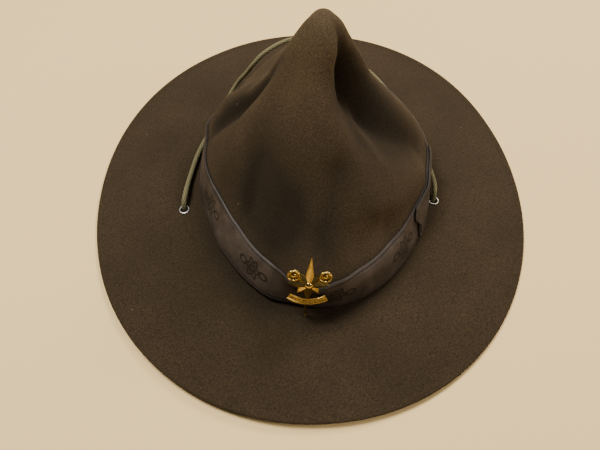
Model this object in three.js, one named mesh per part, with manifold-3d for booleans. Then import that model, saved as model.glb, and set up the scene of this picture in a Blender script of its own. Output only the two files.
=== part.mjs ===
// Campaign hat with a four-dent felt crown, a flat stiff brim, a leather band, a brass badge
// and a chin cord, at its real size in millimetres.
// The hat rests on the edge of its brim. +Z is up, -Y is the front, and the origin is on the
// surface below the middle of the brim.
import * as THREE from 'three';
import { mergeVertices } from 'three/addons/utils/BufferGeometryUtils.js';
import Module from 'manifold-3d';

const wasm = await Module();
wasm.setup();

// Driving dimensions of the felt
const BRIM_HALF_WIDTH = 162;
const BRIM_HALF_LENGTH = 187.2;
const BRIM_EDGE_POWER = 2.07; // 2 would be a true ellipse
const FELT_THICKNESS = 2;
const BRIM_RISE = 7.6; // height of the underside where the brim meets the crown
const BRIM_DROOP_POWER = 1.6; // 1 would be a straight cone
const REST_STRIP = 6; // flat strip along the edge on which the brim rests
const ROOT_RADIUS = 1.6; // hollow corner between brim and crown
const CROWN_HALF_WIDTH = 85.3; // outside of the felt at the foot of the crown
const CROWN_HALF_LENGTH = 111.5;
const CROWN_RISE = 129.8; // from the foot of the wall to the peak
const CROWN_CENTRE = { x: 2.3, y: -2 };
const PEAK_SHIFT = { x: 8.2, y: 20.5 }; // from the middle of the foot to the peak
const FOLD_FADE = 0.3; // folds fade out inside this share of the foot's half width
const FOLD_REACH = 0.14; // and are no narrower round the peak than at this share of it
const FOLD_BLEND = 5; // higher joins the pieces of a fold's line more sharply
const FOLD_TURNOVER = 0.02; // share of the half width over which near turns into far

// Driving dimensions of the trim
const GAP = 0.3; // clearance between pieces that touch
const BAND_WIDTH = 25.4;
const BAND_THICKNESS = 1.6;
const TONGUE_THICKNESS = 1.5;
const TONGUE_START = 321; // degrees round the crown, 0 is the right side and 90 the rear
const TONGUE_END = 362;
const TONGUE_WAVE = 2.2; // degrees that the shaped end swings to each side
const CORD_DIAMETER = 3.6;
const EYELET_HOLE_RADIUS = 2.6;
const EYELET_METAL = 0.45;
const EYELET_FLANGE_RADIUS = 4.2;
const EYELET_ROLL = 0.27; // rounding of the rolled rims
const EYELET_LEFT = { x: -1.1 * CROWN_HALF_WIDTH, y: -0.22 * CROWN_HALF_LENGTH };
const EYELET_RIGHT = { x: 1.086 * CROWN_HALF_WIDTH, y: -0.224 * CROWN_HALF_LENGTH };
const KNOT_RADIUS = 3.6;
const KNOT_LENGTH = 11;
const KNOT_WAIST = 0.8; // groove between the two wraps, as a share of the knot's radius
const KNOT_END = 0.6; // flat end, as a share of the knot's radius
const KNOT_WRAP = { inner: 0.25, outer: 0.7 }; // flat of a wrap, as shares of half the length

// Driving dimensions of the badge
const BADGE_PLATE = 1.4;
const BADGE_TOP_POINT = 20.5; // reach of the star's points, from its middle
const BADGE_UPPER_POINT = 11.5;
const BADGE_SIDE_POINT = 13;
const BADGE_LOWER_POINT = 9.5;
const BADGE_STAR_WAIST = 6.8; // between two points
const BADGE_STAR_EDGE = 1; // height of the star's sides
const BADGE_STAR_RELIEF = 2.4; // from the plate to the star's crest
const BADGE_ROUNDEL_RADIUS = 4.2;
const BADGE_ROUNDEL_BAR = 1.5; // width of the raised rim
const BADGE_ROUNDEL_BEAD = 1.9;
const BADGE_ROUNDEL_PLACE = { x: 9.8, y: 6.2 }; // from the star's middle, to each side
const BADGE_DISC = 0.8; // thickness inside the rim, then of the rim's sides and crest
const BADGE_RING_SHOULDER = 1.2;
const BADGE_RING_CREST = 2;
const BADGE_SCROLL_RADIUS = 24;
const BADGE_SCROLL_LENGTH = 28;
const BADGE_SCROLL_BAR = 4.6;
const BADGE_SCROLL_BEVEL = 0.42;
const BADGE_SCROLL_DROP = 15.8; // from the star's middle to the scroll's lowest edge
const BADGE_TILT = 22; // degrees back from upright
const BADGE_LEAN = 6; // degrees to the wearer's left
const BADGE_X = -4.4;
const BADGE_HEIGHT = 42; // of the star's middle above the surface on which the hat rests
const BADGE_STAND_OFF = 1.2; // from the band's top edge to the back of the plate
const PIN_RADIUS = 0.8;
const PIN_BEAD_RADIUS = 1.1;
const PIN_SHIFT = -2.4; // from the middle of the badge along the band

// Fineness of the meshes
const DIRECTIONS = 72;
const WALL_ROWS = 12; // from the band to where the tip starts
const TIP_START = 0.84; // as a share of the crown's rise
const TIP_ROWS = 5;
const BRIM_ROWS = 4;
const BAND_ROWS = 3;
const CORD_SIDES = 8;
const CORD_STEPS = 2; // between one point of the route and the next
const EYELET_SIDES = 16;
const RING_SIDES = 24;
const KNOT_SIDES = 12;
const PIN_SIDES = 8;
const BEAD_ROWS = 5;
const WALL_STEP = 0.005; // share of the rise by which lengths along the wall are summed
const SLOPE_STEP = { turn: 0.5, climb: 0.003 }; // degrees and share for the wall's slopes
const PEAK_FLAT = 0.9995; // above this share of the rise the wall counts as level

// Crown sections from the foot to the peak. Heights are shares of the crown's rise, and the
// radii are shares of the foot's oval in the same direction.
const compass = [
  'right', 'rear_right', 'rear', 'rear_left', 'left', 'front_left', 'front', 'front_right',
];
const crownSections = [
  {
    height: 0, right: 1, rear_right: 1, rear: 1, rear_left: 1,
    left: 0.99, front_left: 0.925, front: 0.985, front_right: 0.99,
  },
  {
    height: 0.17, right: 0.985, rear_right: 0.95, rear: 0.98, rear_left: 0.94,
    left: 0.935, front_left: 0.82, front: 1, front_right: 0.905,
  },
  {
    height: 0.345, right: 0.86, rear_right: 0.73, rear: 0.87, rear_left: 0.75,
    left: 0.77, front_left: 0.68, front: 0.8, front_right: 0.76,
  },
  {
    height: 0.51, right: 0.65, rear_right: 0.49, rear: 0.69, rear_left: 0.5,
    left: 0.6, front_left: 0.53, front: 0.6, front_right: 0.575,
  },
  {
    height: 0.66, right: 0.46, rear_right: 0.315, rear: 0.49, rear_left: 0.33,
    left: 0.45, front_left: 0.385, front: 0.44, front_right: 0.38,
  },
  {
    height: 0.815, right: 0.31, rear_right: 0.205, rear: 0.3, rear_left: 0.21,
    left: 0.29, front_left: 0.24, front: 0.265, front_right: 0.225,
  },
  {
    height: 0.9, right: 0.205, rear_right: 0.165, rear: 0.2, rear_left: 0.165,
    left: 0.205, front_left: 0.19, front: 0.195, front_right: 0.175,
  },
  {
    height: 0.96, right: 0.135, rear_right: 0.115, rear: 0.13, rear_left: 0.115,
    left: 0.135, front_left: 0.125, front: 0.13, front_right: 0.115,
  },
  {
    height: 0.99, right: 0.072, rear_right: 0.065, rear: 0.07, rear_left: 0.065,
    left: 0.072, front_left: 0.068, front: 0.068, front_right: 0.064,
  },
  {
    height: 1, right: 0, rear_right: 0, rear: 0, rear_left: 0,
    left: 0, front_left: 0, front: 0, front_right: 0,
  },
];

// Folds pressed into the crown. Each row of a fold is a point of its line up the wall: the
// direction in degrees, the height as a share of the rise, and the rest as shares of the foot's
// half width. Near is the width on the side towards the front or the foot, far on the other
// side, and a depth below nought is a bulge.
const crownFolds = {
  front_right_dent: [
    { direction: 316, height: 0.93, depth: 0.05, near: 0.045, far: 0.09 },
    { direction: 301, height: 0.77, depth: 0.19, near: 0.06, far: 0.2 },
    { direction: 302, height: 0.66, depth: 0.24, near: 0.09, far: 0.29 },
    { direction: 324, height: 0.52, depth: 0.24, near: 0.13, far: 0.28 },
    { direction: 348, height: 0.33, depth: 0.09, near: 0.11, far: 0.16 },
  ],
  front_right_shelf: [
    { direction: 300, height: 0.34, depth: -0.04, near: 0.12, far: 0.12 },
    { direction: 335, height: 0.24, depth: -0.04, near: 0.12, far: 0.12 },
  ],
  left_rear_fold: [
    { direction: 184, height: 0.78, depth: 0.03, near: 0.05, far: 0.1 },
    { direction: 172, height: 0.6, depth: 0.1, near: 0.06, far: 0.13 },
    { direction: 167, height: 0.44, depth: 0.13, near: 0.06, far: 0.14 },
    { direction: 165, height: 0.3, depth: 0.08, near: 0.06, far: 0.1 },
  ],
  left_rear_bulge: [
    { direction: 155, height: 0.2, depth: -0.05, near: 0.14, far: 0.14 },
    { direction: 150, height: 0.34, depth: -0.08, near: 0.14, far: 0.14 },
    { direction: 146, height: 0.48, depth: -0.03, near: 0.14, far: 0.14 },
  ],
  front_left_dent: [
    { direction: 230, height: 0.38, depth: 0.05, near: 0.16, far: 0.22 },
    { direction: 252, height: 0.33, depth: 0.06, near: 0.12, far: 0.18 },
  ],
  front_right_valley: [
    { direction: 277, height: 0.5, depth: 0.04, near: 0.08, far: 0.12 },
    { direction: 270, height: 0.3, depth: 0.05, near: 0.07, far: 0.12 },
  ],
  right_flat_above_the_band: [
    { direction: 285, height: 0.24, depth: 0.1, near: 0.12, far: 0.14 },
    { direction: 299, height: 0.23, depth: 0.085, near: 0.12, far: 0.14 },
  ],
  left_flat_above_the_band: [
    { direction: 232, height: 0.24, depth: 0.075, near: 0.11, far: 0.13 },
    { direction: 250, height: 0.24, depth: 0.075, near: 0.11, far: 0.13 },
  ],
  front_prow: [
    { direction: 262, height: 0.2, depth: -0.055, near: 0.08, far: 0.1 },
    { direction: 269, height: 0.18, depth: -0.045, near: 0.08, far: 0.1 },
  ],
  front_left_foot: [
    { direction: 226, height: 0, depth: -0.03, near: 0.2, far: 0.2 },
    { direction: 252, height: 0, depth: -0.04, near: 0.12, far: 0.12 },
  ],
};

// How far the brim's edge lifts off the surface, as a share of the brim's rise. It rests on
// the surface wherever the curve through these falls below nought.
const edgeLift = {
  right: -0.2, rear_right: 0.26, rear: 0.2, rear_left: -0.13,
  left: -0.2, front_left: 0.33, front: 0.42, front_right: 0.07,
};

// Route of the chin cord, from the knot below the crown out through the left eyelet, round the
// back of the crown, in through the right eyelet and back to the knot. Across is a share of the
// foot's half width, along of its half length, and up of the crown's rise.
const cordRoute = [
  { across: -0.795, along: 0.056, up: 0.0277 },
  { across: -0.844, along: -0.117, up: 0.0169 },
  { across: -0.932, along: -0.197, up: 0.0162 },
  { across: -1.015, along: -0.219, up: 0.0162 },
  { across: -1.059, along: -0.22, up: 0.0231 },
  { across: -1.089, along: -0.22, up: 0.0431 },
  { across: -1.1, along: -0.22, up: 0.0701 },
  { across: -1.097, along: -0.21, up: 0.0963 },
  { across: -1.093, along: -0.181, up: 0.1133 },
  { across: -1.086, along: -0.135, up: 0.1171 },
  { across: -1.067, along: 0, up: 0.1055 },
  { across: -1.005, along: 0.251, up: 0.1017 },
  { across: -0.883, along: 0.498, up: 0.1094 },
  { across: -0.809, along: 0.604, up: 0.1364 },
  { across: -0.727, along: 0.709, up: 0.1949 },
  { across: -0.637, along: 0.767, up: 0.2619 },
  { across: -0.545, along: 0.753, up: 0.3428 },
  { across: -0.475, along: 0.735, up: 0.416 },
  { across: -0.375, along: 0.785, up: 0.4607 },
  { across: -0.141, along: 0.92, up: 0.4669 },
  { across: 0.07, along: 0.946, up: 0.4584 },
  { across: 0.27, along: 0.933, up: 0.416 },
  { across: 0.46, along: 0.897, up: 0.3313 },
  { across: 0.64, along: 0.848, up: 0.2542 },
  { across: 0.783, along: 0.752, up: 0.1926 },
  { across: 0.932, along: 0.556, up: 0.1256 },
  { across: 1.038, along: 0.318, up: 0.1048 },
  { across: 1.094, along: 0.054, up: 0.104 },
  { across: 1.106, along: -0.081, up: 0.114 },
  { across: 1.101, along: -0.161, up: 0.1179 },
  { across: 1.093, along: -0.204, up: 0.1025 },
  { across: 1.086, along: -0.224, up: 0.0701 },
  { across: 1.072, along: -0.224, up: 0.0401 },
  { across: 1.025, along: -0.223, up: 0.0177 },
  { across: 0.926, along: -0.184, up: 0.0162 },
  { across: 0.848, along: -0.036, up: 0.0162 },
  { across: 0.809, along: 0.287, up: 0.0162 },
  { across: 0.516, along: 0.717, up: 0.0162 },
  { across: 0.023, along: 0.861, up: 0.0162 },
  { across: -0.516, along: 0.682, up: 0.0162 },
  { across: -0.78, along: 0.341, up: 0.0162 },
  { across: -0.79, along: 0.16, up: 0.0277 },
];

// Small helpers
const radians = (degrees) => (degrees * Math.PI) / 180;
const mix = (a, b, share) => a + (b - a) * share;

// Joins rows of points into quads, each cut along its shorter diagonal. A row of one point is
// a pole. The rows are loops, and closedAlong joins the last row to the first.
function solidFromRows(rows, closedAlong) {
  const positions = rows.flat().flatMap((point) => [point.x, point.y, point.z]);
  const faces = [];
  let start = 0;
  const starts = rows.map((row) => {
    start += row.length;
    return start - row.length;
  });
  const pairs = closedAlong ? rows.length : rows.length - 1;
  for (let i = 0; i < pairs; i += 1) {
    const next = (i + 1) % rows.length;
    const count = Math.max(rows[i].length, rows[next].length);
    const corner = (row, j) => (rows[row].length === 1 ? 0 : j % count);
    for (let j = 0; j < count; j += 1) {
      const [a, b, c, d] = [corner(i, j), corner(i, j + 1), corner(next, j + 1), corner(next, j)];
      const firstCut = rows[i][a].distanceTo(rows[next][c]);
      const secondCut = rows[i][b].distanceTo(rows[next][d]);
      const [A, B, C, D] = [starts[i] + a, starts[i] + b, starts[next] + c, starts[next] + d];
      const cuts = firstCut <= secondCut ? [[A, B, C], [A, C, D]] : [[A, B, D], [B, C, D]];
      for (const face of cuts) {
        if (new Set(face).size === 3) faces.push(...face);
      }
    }
  }
  const geometry = new THREE.BufferGeometry();
  geometry.setAttribute('position', new THREE.Float32BufferAttribute(positions, 3));
  geometry.setIndex(faces);
  return geometry;
}

function toManifold(geometry) {
  const bare = geometry.clone();
  bare.deleteAttribute('normal');
  bare.deleteAttribute('uv');
  const merged = mergeVertices(bare, 1e-4);
  return new wasm.Manifold(new wasm.Mesh({
    numProp: 3,
    vertProperties: new Float32Array(merged.attributes.position.array),
    triVerts: new Uint32Array(merged.index.array),
  }));
}

function fromManifold(solid) {
  const mesh = solid.getMesh();
  const geometry = new THREE.BufferGeometry();
  geometry.setAttribute('position', new THREE.Float32BufferAttribute(mesh.vertProperties, 3));
  geometry.setIndex(Array.from(mesh.triVerts));
  return geometry;
}

// Smooth closed curve through eight values, one for each direction of the compass
function aroundCompass(values, direction) {
  const place = (((direction / 45) % 8) + 8) % 8;
  const i = Math.floor(place);
  const u = place - i;
  const [p0, p1, p2, p3] = [7, 0, 1, 2].map((step) => values[(i + step) % 8]);
  return 0.5 * (2 * p1 + (p2 - p0) * u + (2 * p0 - 5 * p1 + 4 * p2 - p3) * u * u
    + (3 * p1 - p0 - 3 * p2 + p3) * u * u * u);
}

// Smooth curve up the wall through the sections. It runs against 1 - sqrt(1 - height), which
// rounds the peak, and its slopes keep it from overshooting.
const climb = (height) => 1 - Math.sqrt(Math.max(0, 1 - height));
const sectionPlaces = crownSections.map((row) => climb(row.height));
const sectionCurves = compass.map((name) => {
  const values = crownSections.map((row) => row[name]);
  const steps = sectionPlaces.slice(1).map((place, k) => place - sectionPlaces[k]);
  const rises = steps.map((step, k) => (values[k + 1] - values[k]) / step);
  const slopes = values.map((value, k) => {
    if (k === 0) return rises[0];
    if (k === values.length - 1) return rises[k - 1];
    if (rises[k] * rises[k - 1] <= 0) return 0;
    const before = 2 * steps[k] + steps[k - 1];
    const after = steps[k] + 2 * steps[k - 1];
    return (before + after) / (before / rises[k - 1] + after / rises[k]);
  });
  return { values, slopes };
});

function sectionShares(height) {
  const place = climb(height);
  let k = 0;
  while (k < sectionPlaces.length - 2 && place > sectionPlaces[k + 1]) k += 1;
  const step = sectionPlaces[k + 1] - sectionPlaces[k];
  const s = (place - sectionPlaces[k]) / step;
  return sectionCurves.map(({ values, slopes }) => values[k] * (1 + 2 * s) * (1 - s) ** 2
    + slopes[k] * step * s * (1 - s) ** 2 + values[k + 1] * s * s * (3 - 2 * s)
    + slopes[k + 1] * step * s * s * (s - 1));
}

const FOOT_HEIGHT = BRIM_RISE + FELT_THICKNESS + ROOT_RADIUS;
const turn = (degrees) => ((((degrees + 180) % 360) + 360) % 360) - 180;

function footOval(direction) {
  const angle = radians(direction);
  return 1 / Math.hypot(Math.cos(angle) / CROWN_HALF_WIDTH, Math.sin(angle) / CROWN_HALF_LENGTH);
}

// How deep one fold is at a place on a crown of the given radius: the deepest of what the
// pieces of its line press in, joined smoothly
function foldDepth(line, direction, height, radius) {
  const reach = Math.max(radius, FOLD_REACH * CROWN_HALF_WIDTH);
  let sum = 0;
  for (let k = 0; k < line.length - 1; k += 1) {
    const [start, end] = [line[k], line[k + 1]];
    const across = radians(turn(direction - start.direction)) * reach;
    const up = (height - start.height) * CROWN_RISE;
    const lineAcross = radians(turn(end.direction - start.direction)) * reach;
    const lineUp = (end.height - start.height) * CROWN_RISE;
    const length = Math.hypot(lineAcross, lineUp);
    const along = (across * lineAcross + up * lineUp) / length ** 2;
    const share = Math.min(1, Math.max(0, along));
    const distance = Math.hypot(across - share * lineAcross, up - share * lineUp);
    const aside = (across * lineUp - up * lineAcross) / length;
    const side = aside / Math.hypot(distance, FOLD_TURNOVER * CROWN_HALF_WIDTH);
    const near = mix(start.near, end.near, share);
    const far = mix(start.far, end.far, share);
    const width = mix(far, near, 0.5 + 0.5 * side) * CROWN_HALF_WIDTH;
    const depth = Math.abs(mix(start.depth, end.depth, share));
    sum += (depth * Math.exp(-((distance / width) ** 2))) ** FOLD_BLEND;
  }
  return Math.sign(line[0].depth) * sum ** (1 / FOLD_BLEND) * CROWN_HALF_WIDTH;
}

// Outside of the crown in a direction and at a share of its height
function crownPoint(direction, height) {
  const smooth = footOval(direction) * aroundCompass(sectionShares(height), direction);
  const fade = Math.min(1, smooth / (FOLD_FADE * CROWN_HALF_WIDTH));
  let radius = smooth;
  for (const line of Object.values(crownFolds)) {
    radius -= fade * foldDepth(line, direction, height, smooth);
  }
  const angle = radians(direction);
  return new THREE.Vector3(
    CROWN_CENTRE.x + PEAK_SHIFT.x * height + radius * Math.cos(angle),
    CROWN_CENTRE.y + PEAK_SHIFT.y * height + radius * Math.sin(angle),
    FOOT_HEIGHT + CROWN_RISE * height,
  );
}

// The same point moved out of the wall by an offset, or into it by a negative one
function wallPoint(direction, height, offset) {
  const point = crownPoint(direction, height);
  if (height > PEAK_FLAT) return point.add(new THREE.Vector3(0, 0, offset));
  const { turn: side, climb: rise } = SLOPE_STEP;
  const around = crownPoint(direction + side, height).sub(crownPoint(direction - side, height));
  const top = Math.min(height + rise, 1 - rise / 3);
  const low = Math.min(height, 1 - (4 * rise) / 3) - rise;
  const up = crownPoint(direction, top).sub(crownPoint(direction, low));
  return point.addScaledVector(around.cross(up).normalize(), offset);
}

function brimEdge(direction) {
  const angle = radians(direction);
  const across = Math.abs(Math.cos(angle) / BRIM_HALF_WIDTH) ** BRIM_EDGE_POWER;
  const along = Math.abs(Math.sin(angle) / BRIM_HALF_LENGTH) ** BRIM_EDGE_POWER;
  const radius = (across + along) ** (-1 / BRIM_EDGE_POWER);
  return new THREE.Vector3(radius * Math.cos(angle), radius * Math.sin(angle), 0);
}

function brimRoot(direction) {
  const foot = crownPoint(direction, 0);
  const angle = radians(direction);
  foot.x += ROOT_RADIUS * Math.cos(angle);
  foot.y += ROOT_RADIUS * Math.sin(angle);
  foot.z = 0;
  return foot;
}

// Brim, from the crown at share 0 to the edge at share 1: the underside raised by an offset
function brimPoint(direction, share, offset) {
  const root = brimRoot(direction);
  const edge = brimEdge(direction);
  const width = edge.distanceTo(root);
  const slope = Math.min(1, share / (1 - REST_STRIP / width));
  const lifts = compass.map((name) => edgeLift[name]);
  const lift = BRIM_RISE * Math.max(0, aroundCompass(lifts, direction));
  const point = root.lerp(edge, share);
  point.z = lift * slope ** 2 + BRIM_RISE * (1 - slope ** BRIM_DROOP_POWER) + offset;
  return point;
}

// Corner between wall and brim: a quarter turn of the given radius about a shared centre
function rootCorner(direction, radius, quarter) {
  const angle = radians(direction);
  const centre = brimRoot(direction);
  const sweep = (quarter * Math.PI) / 2;
  return new THREE.Vector3(
    centre.x - radius * Math.cos(sweep) * Math.cos(angle),
    centre.y - radius * Math.cos(sweep) * Math.sin(angle),
    FOOT_HEIGHT - radius * Math.sin(sweep),
  );
}

// Height share at which the wall's own length above its foot reaches a distance
function heightAlongWall(direction, distance) {
  let length = 0;
  let height = 0;
  let last = crownPoint(direction, 0);
  while (height < 1) {
    const next = crownPoint(direction, height + WALL_STEP);
    const piece = next.distanceTo(last);
    if (length + piece >= distance) return height + (WALL_STEP * (distance - length)) / piece;
    length += piece;
    height += WALL_STEP;
    last = next;
  }
  return 1;
}

const allDirections = Array.from({ length: DIRECTIONS }, (unused, k) => (k * 360) / DIRECTIONS);

// Heights of the wall's rows: the foot, the rows under the band, the free wall and the tip.
// Each row has a height for every direction, because the band keeps its width along the wall.
const wallHeights = [allDirections.map(() => 0)];
for (let k = 0; k <= BAND_ROWS; k += 1) {
  wallHeights.push(allDirections.map((d) => heightAlongWall(d, GAP + (k / BAND_ROWS) * BAND_WIDTH)));
}
const bandTopHeights = wallHeights.at(-1);
for (let k = 1; k <= WALL_ROWS; k += 1) {
  wallHeights.push(bandTopHeights.map((height) => mix(height, TIP_START, k / WALL_ROWS)));
}
for (let k = 1; k <= TIP_ROWS; k += 1) {
  const place = mix(climb(TIP_START), 1, k / TIP_ROWS);
  wallHeights.push(allDirections.map(() => 1 - (1 - place) ** 2));
}

// Felt body: crown and brim pressed from one felt, hollow, with two holes for the eyelets
function makeFeltBody() {
  const heights = wallHeights.length - 1;
  const wallRow = (k, offset) => allDirections.map((d, j) => wallPoint(d, wallHeights[k][j], offset));
  const rows = [[wallPoint(0, 1, -FELT_THICKNESS)]];
  for (let k = heights - 2; k > 0; k -= 2) rows.push(wallRow(k, -FELT_THICKNESS));
  const hollowCorner = ROOT_RADIUS + FELT_THICKNESS;
  rows.push(allDirections.map((d) => rootCorner(d, hollowCorner, 0.1)));
  rows.push(allDirections.map((d) => rootCorner(d, hollowCorner, 0.5)));
  const stripShare = (d) => 1 - REST_STRIP / brimEdge(d).distanceTo(brimRoot(d));
  for (let k = 0; k <= BRIM_ROWS; k += 1) {
    rows.push(allDirections.map((d) => brimPoint(d, (stripShare(d) * k) / BRIM_ROWS, 0)));
  }
  rows.push(allDirections.map((d) => brimPoint(d, 1, 0)));
  rows.push(allDirections.map((d) => brimPoint(d, 1, FELT_THICKNESS)));
  for (let k = BRIM_ROWS; k >= 0; k -= 1) {
    rows.push(allDirections.map((d) => brimPoint(d, (stripShare(d) * k) / BRIM_ROWS, FELT_THICKNESS)));
  }
  rows.push(allDirections.map((d) => rootCorner(d, ROOT_RADIUS, 0.5)));
  for (let k = 0; k < heights; k += 1) rows.push(wallRow(k, 0));
  rows.push([wallPoint(0, 1, 0)]);
  let body = toManifold(solidFromRows(rows, false));
  for (const eyelet of [EYELET_LEFT, EYELET_RIGHT]) {
    const radius = EYELET_HOLE_RADIUS + EYELET_METAL + GAP;
    const hole = new THREE.CylinderGeometry(radius, radius, 2 * BRIM_RISE, EYELET_SIDES);
    hole.rotateX(Math.PI / 2);
    hole.translate(eyelet.x, eyelet.y, BRIM_RISE);
    body = body.subtract(toManifold(hole));
  }
  return fromManifold(body);
}

// A strip of leather on the wall: rows of points on its outer and inner faces
function leatherStrip(directions, startShift, gap, thickness, closed) {
  const rows = [];
  const place = (d, share, offset) => {
    const shifted = d + startShift(d, share);
    const height = heightAlongWall(shifted, GAP + share * BAND_WIDTH);
    return wallPoint(shifted, height, offset);
  };
  for (let k = 0; k <= BAND_ROWS; k += 1) {
    rows.push(directions.map((d) => place(d, k / BAND_ROWS, gap + thickness)));
  }
  for (let k = BAND_ROWS; k >= 0; k -= 1) {
    rows.push(directions.map((d) => place(d, k / BAND_ROWS, gap)));
  }
  if (closed) return solidFromRows(rows, true);
  const stations = directions.map((d, j) => rows.map((row) => row[j]));
  const middleOf = (points) => points
    .reduce((sum, point) => sum.add(point), new THREE.Vector3())
    .multiplyScalar(1 / points.length);
  const loops = stations.map((station) => station.slice().reverse());
  return solidFromRows([[middleOf(stations[0])], ...loops, [middleOf(stations.at(-1))]], false);
}

function makeHatBand() {
  return leatherStrip(allDirections, () => 0, GAP, BAND_THICKNESS, true);
}

// Band tongue: the band's outer end, lying over it, with a wavy cut end at the front
function makeBandTongue() {
  const spacing = 360 / DIRECTIONS;
  const directions = [TONGUE_START];
  for (let d = Math.ceil(TONGUE_START / spacing + 0.4) * spacing; d < TONGUE_END; d += spacing) {
    directions.push(d);
  }
  directions.push(TONGUE_END);
  const wave = (d, share) => (d === TONGUE_START ? TONGUE_WAVE * Math.sin(2 * Math.PI * share) : 0);
  return leatherStrip(directions, wave, 2 * GAP + BAND_THICKNESS, TONGUE_THICKNESS, false);
}

// Brim height and slope at a place, read from the brim's own surface
function brimSeat(place) {
  const direction = THREE.MathUtils.radToDeg(Math.atan2(place.y, place.x));
  const seatAt = (d) => {
    const root = brimRoot(d);
    const edge = brimEdge(d);
    const along = new THREE.Vector3(place.x, place.y, 0).sub(root).dot(edge.clone().sub(root));
    return brimPoint(d, along / edge.distanceToSquared(root), 0);
  };
  const here = seatAt(direction);
  const rootSide = brimPoint(direction, 0, 0);
  const outward = brimEdge(direction).sub(brimRoot(direction)).normalize();
  const run = Math.hypot(here.x - rootSide.x, here.y - rootSide.y);
  return { height: here.z, outward, slope: (2 * (rootSide.z - here.z)) / run };
}

// Eyelet: a rolled nickel ring whose flanges grip the brim from both sides
function makeEyelet(place) {
  const seat = brimSeat(place);
  const low = -GAP - EYELET_METAL;
  const high = FELT_THICKNESS + GAP + EYELET_METAL;
  const hole = EYELET_HOLE_RADIUS;
  const tube = EYELET_HOLE_RADIUS + EYELET_METAL;
  const flange = EYELET_FLANGE_RADIUS;
  const profile = [
    [hole, low + EYELET_METAL], [hole + EYELET_ROLL, low], [flange - EYELET_METAL, low],
    [flange, -GAP], [tube, -GAP], [tube, FELT_THICKNESS + GAP], [flange, FELT_THICKNESS + GAP],
    [flange - EYELET_METAL, high], [hole + EYELET_ROLL, high], [hole, high - EYELET_METAL],
    [hole, low + EYELET_METAL],
  ].map(([x, y]) => new THREE.Vector2(x, y));
  const geometry = new THREE.LatheGeometry(profile, EYELET_SIDES);
  geometry.rotateX(Math.PI / 2);
  const up = new THREE.Vector3(seat.outward.x * seat.slope, seat.outward.y * seat.slope, 1).normalize();
  const tilt = new THREE.Quaternion().setFromUnitVectors(new THREE.Vector3(0, 0, 1), up);
  geometry.applyQuaternion(tilt);
  geometry.translate(place.x, place.y, seat.height);
  return geometry;
}

// A star of eight points with a ridge down each, flat at the back
function makeStar() {
  const reaches = [
    BADGE_TOP_POINT, BADGE_UPPER_POINT, BADGE_SIDE_POINT, BADGE_LOWER_POINT,
    BADGE_SCROLL_DROP - BADGE_SCROLL_BAR / 2, BADGE_LOWER_POINT, BADGE_SIDE_POINT, BADGE_UPPER_POINT,
  ];
  const outlineAt = (z) => reaches.flatMap((reach, k) => [reach, BADGE_STAR_WAIST].map((radius, half) => {
    const angle = Math.PI / 2 + ((2 * k + half) * Math.PI) / 8;
    return new THREE.Vector3(radius * Math.cos(angle), radius * Math.sin(angle), z);
  }));
  const back = new THREE.Vector3(0, 0, 0);
  const crest = new THREE.Vector3(0, 0, BADGE_PLATE + BADGE_STAR_RELIEF);
  return solidFromRows([[back], outlineAt(0), outlineAt(BADGE_STAR_EDGE), [crest]], false);
}

// A disc with a raised rim and a cone in its middle
function makeRoundel() {
  const radius = BADGE_ROUNDEL_RADIUS;
  const bar = BADGE_ROUNDEL_BAR;
  const profile = [
    [0, 0], [radius, 0], [radius, BADGE_RING_SHOULDER], [radius - bar / 2, BADGE_RING_CREST],
    [radius - bar, BADGE_DISC], [BADGE_ROUNDEL_BEAD, BADGE_DISC], [0, BADGE_RING_CREST],
  ].map(([x, y]) => new THREE.Vector2(x, y));
  return new THREE.LatheGeometry(profile, RING_SIDES).rotateX(Math.PI / 2);
}

// The plain scroll is an arc bar that hangs below the ring
function makeScroll() {
  const halfAngle = BADGE_SCROLL_LENGTH / 2 / BADGE_SCROLL_RADIUS;
  const from = -Math.PI / 2 - halfAngle;
  const to = -Math.PI / 2 + halfAngle;
  const bevel = BADGE_SCROLL_BEVEL;
  const shape = new THREE.Shape();
  shape.absarc(0, 0, BADGE_SCROLL_RADIUS - bevel, from, to, false);
  shape.absarc(0, 0, BADGE_SCROLL_RADIUS - BADGE_SCROLL_BAR + bevel, to, from, true);
  const scroll = new THREE.ExtrudeGeometry(shape, {
    depth: BADGE_PLATE,
    curveSegments: 8,
    bevelThickness: bevel,
    bevelSize: bevel,
    bevelSegments: 1,
  });
  return scroll.translate(0, BADGE_SCROLL_RADIUS - BADGE_SCROLL_DROP, bevel);
}

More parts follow.
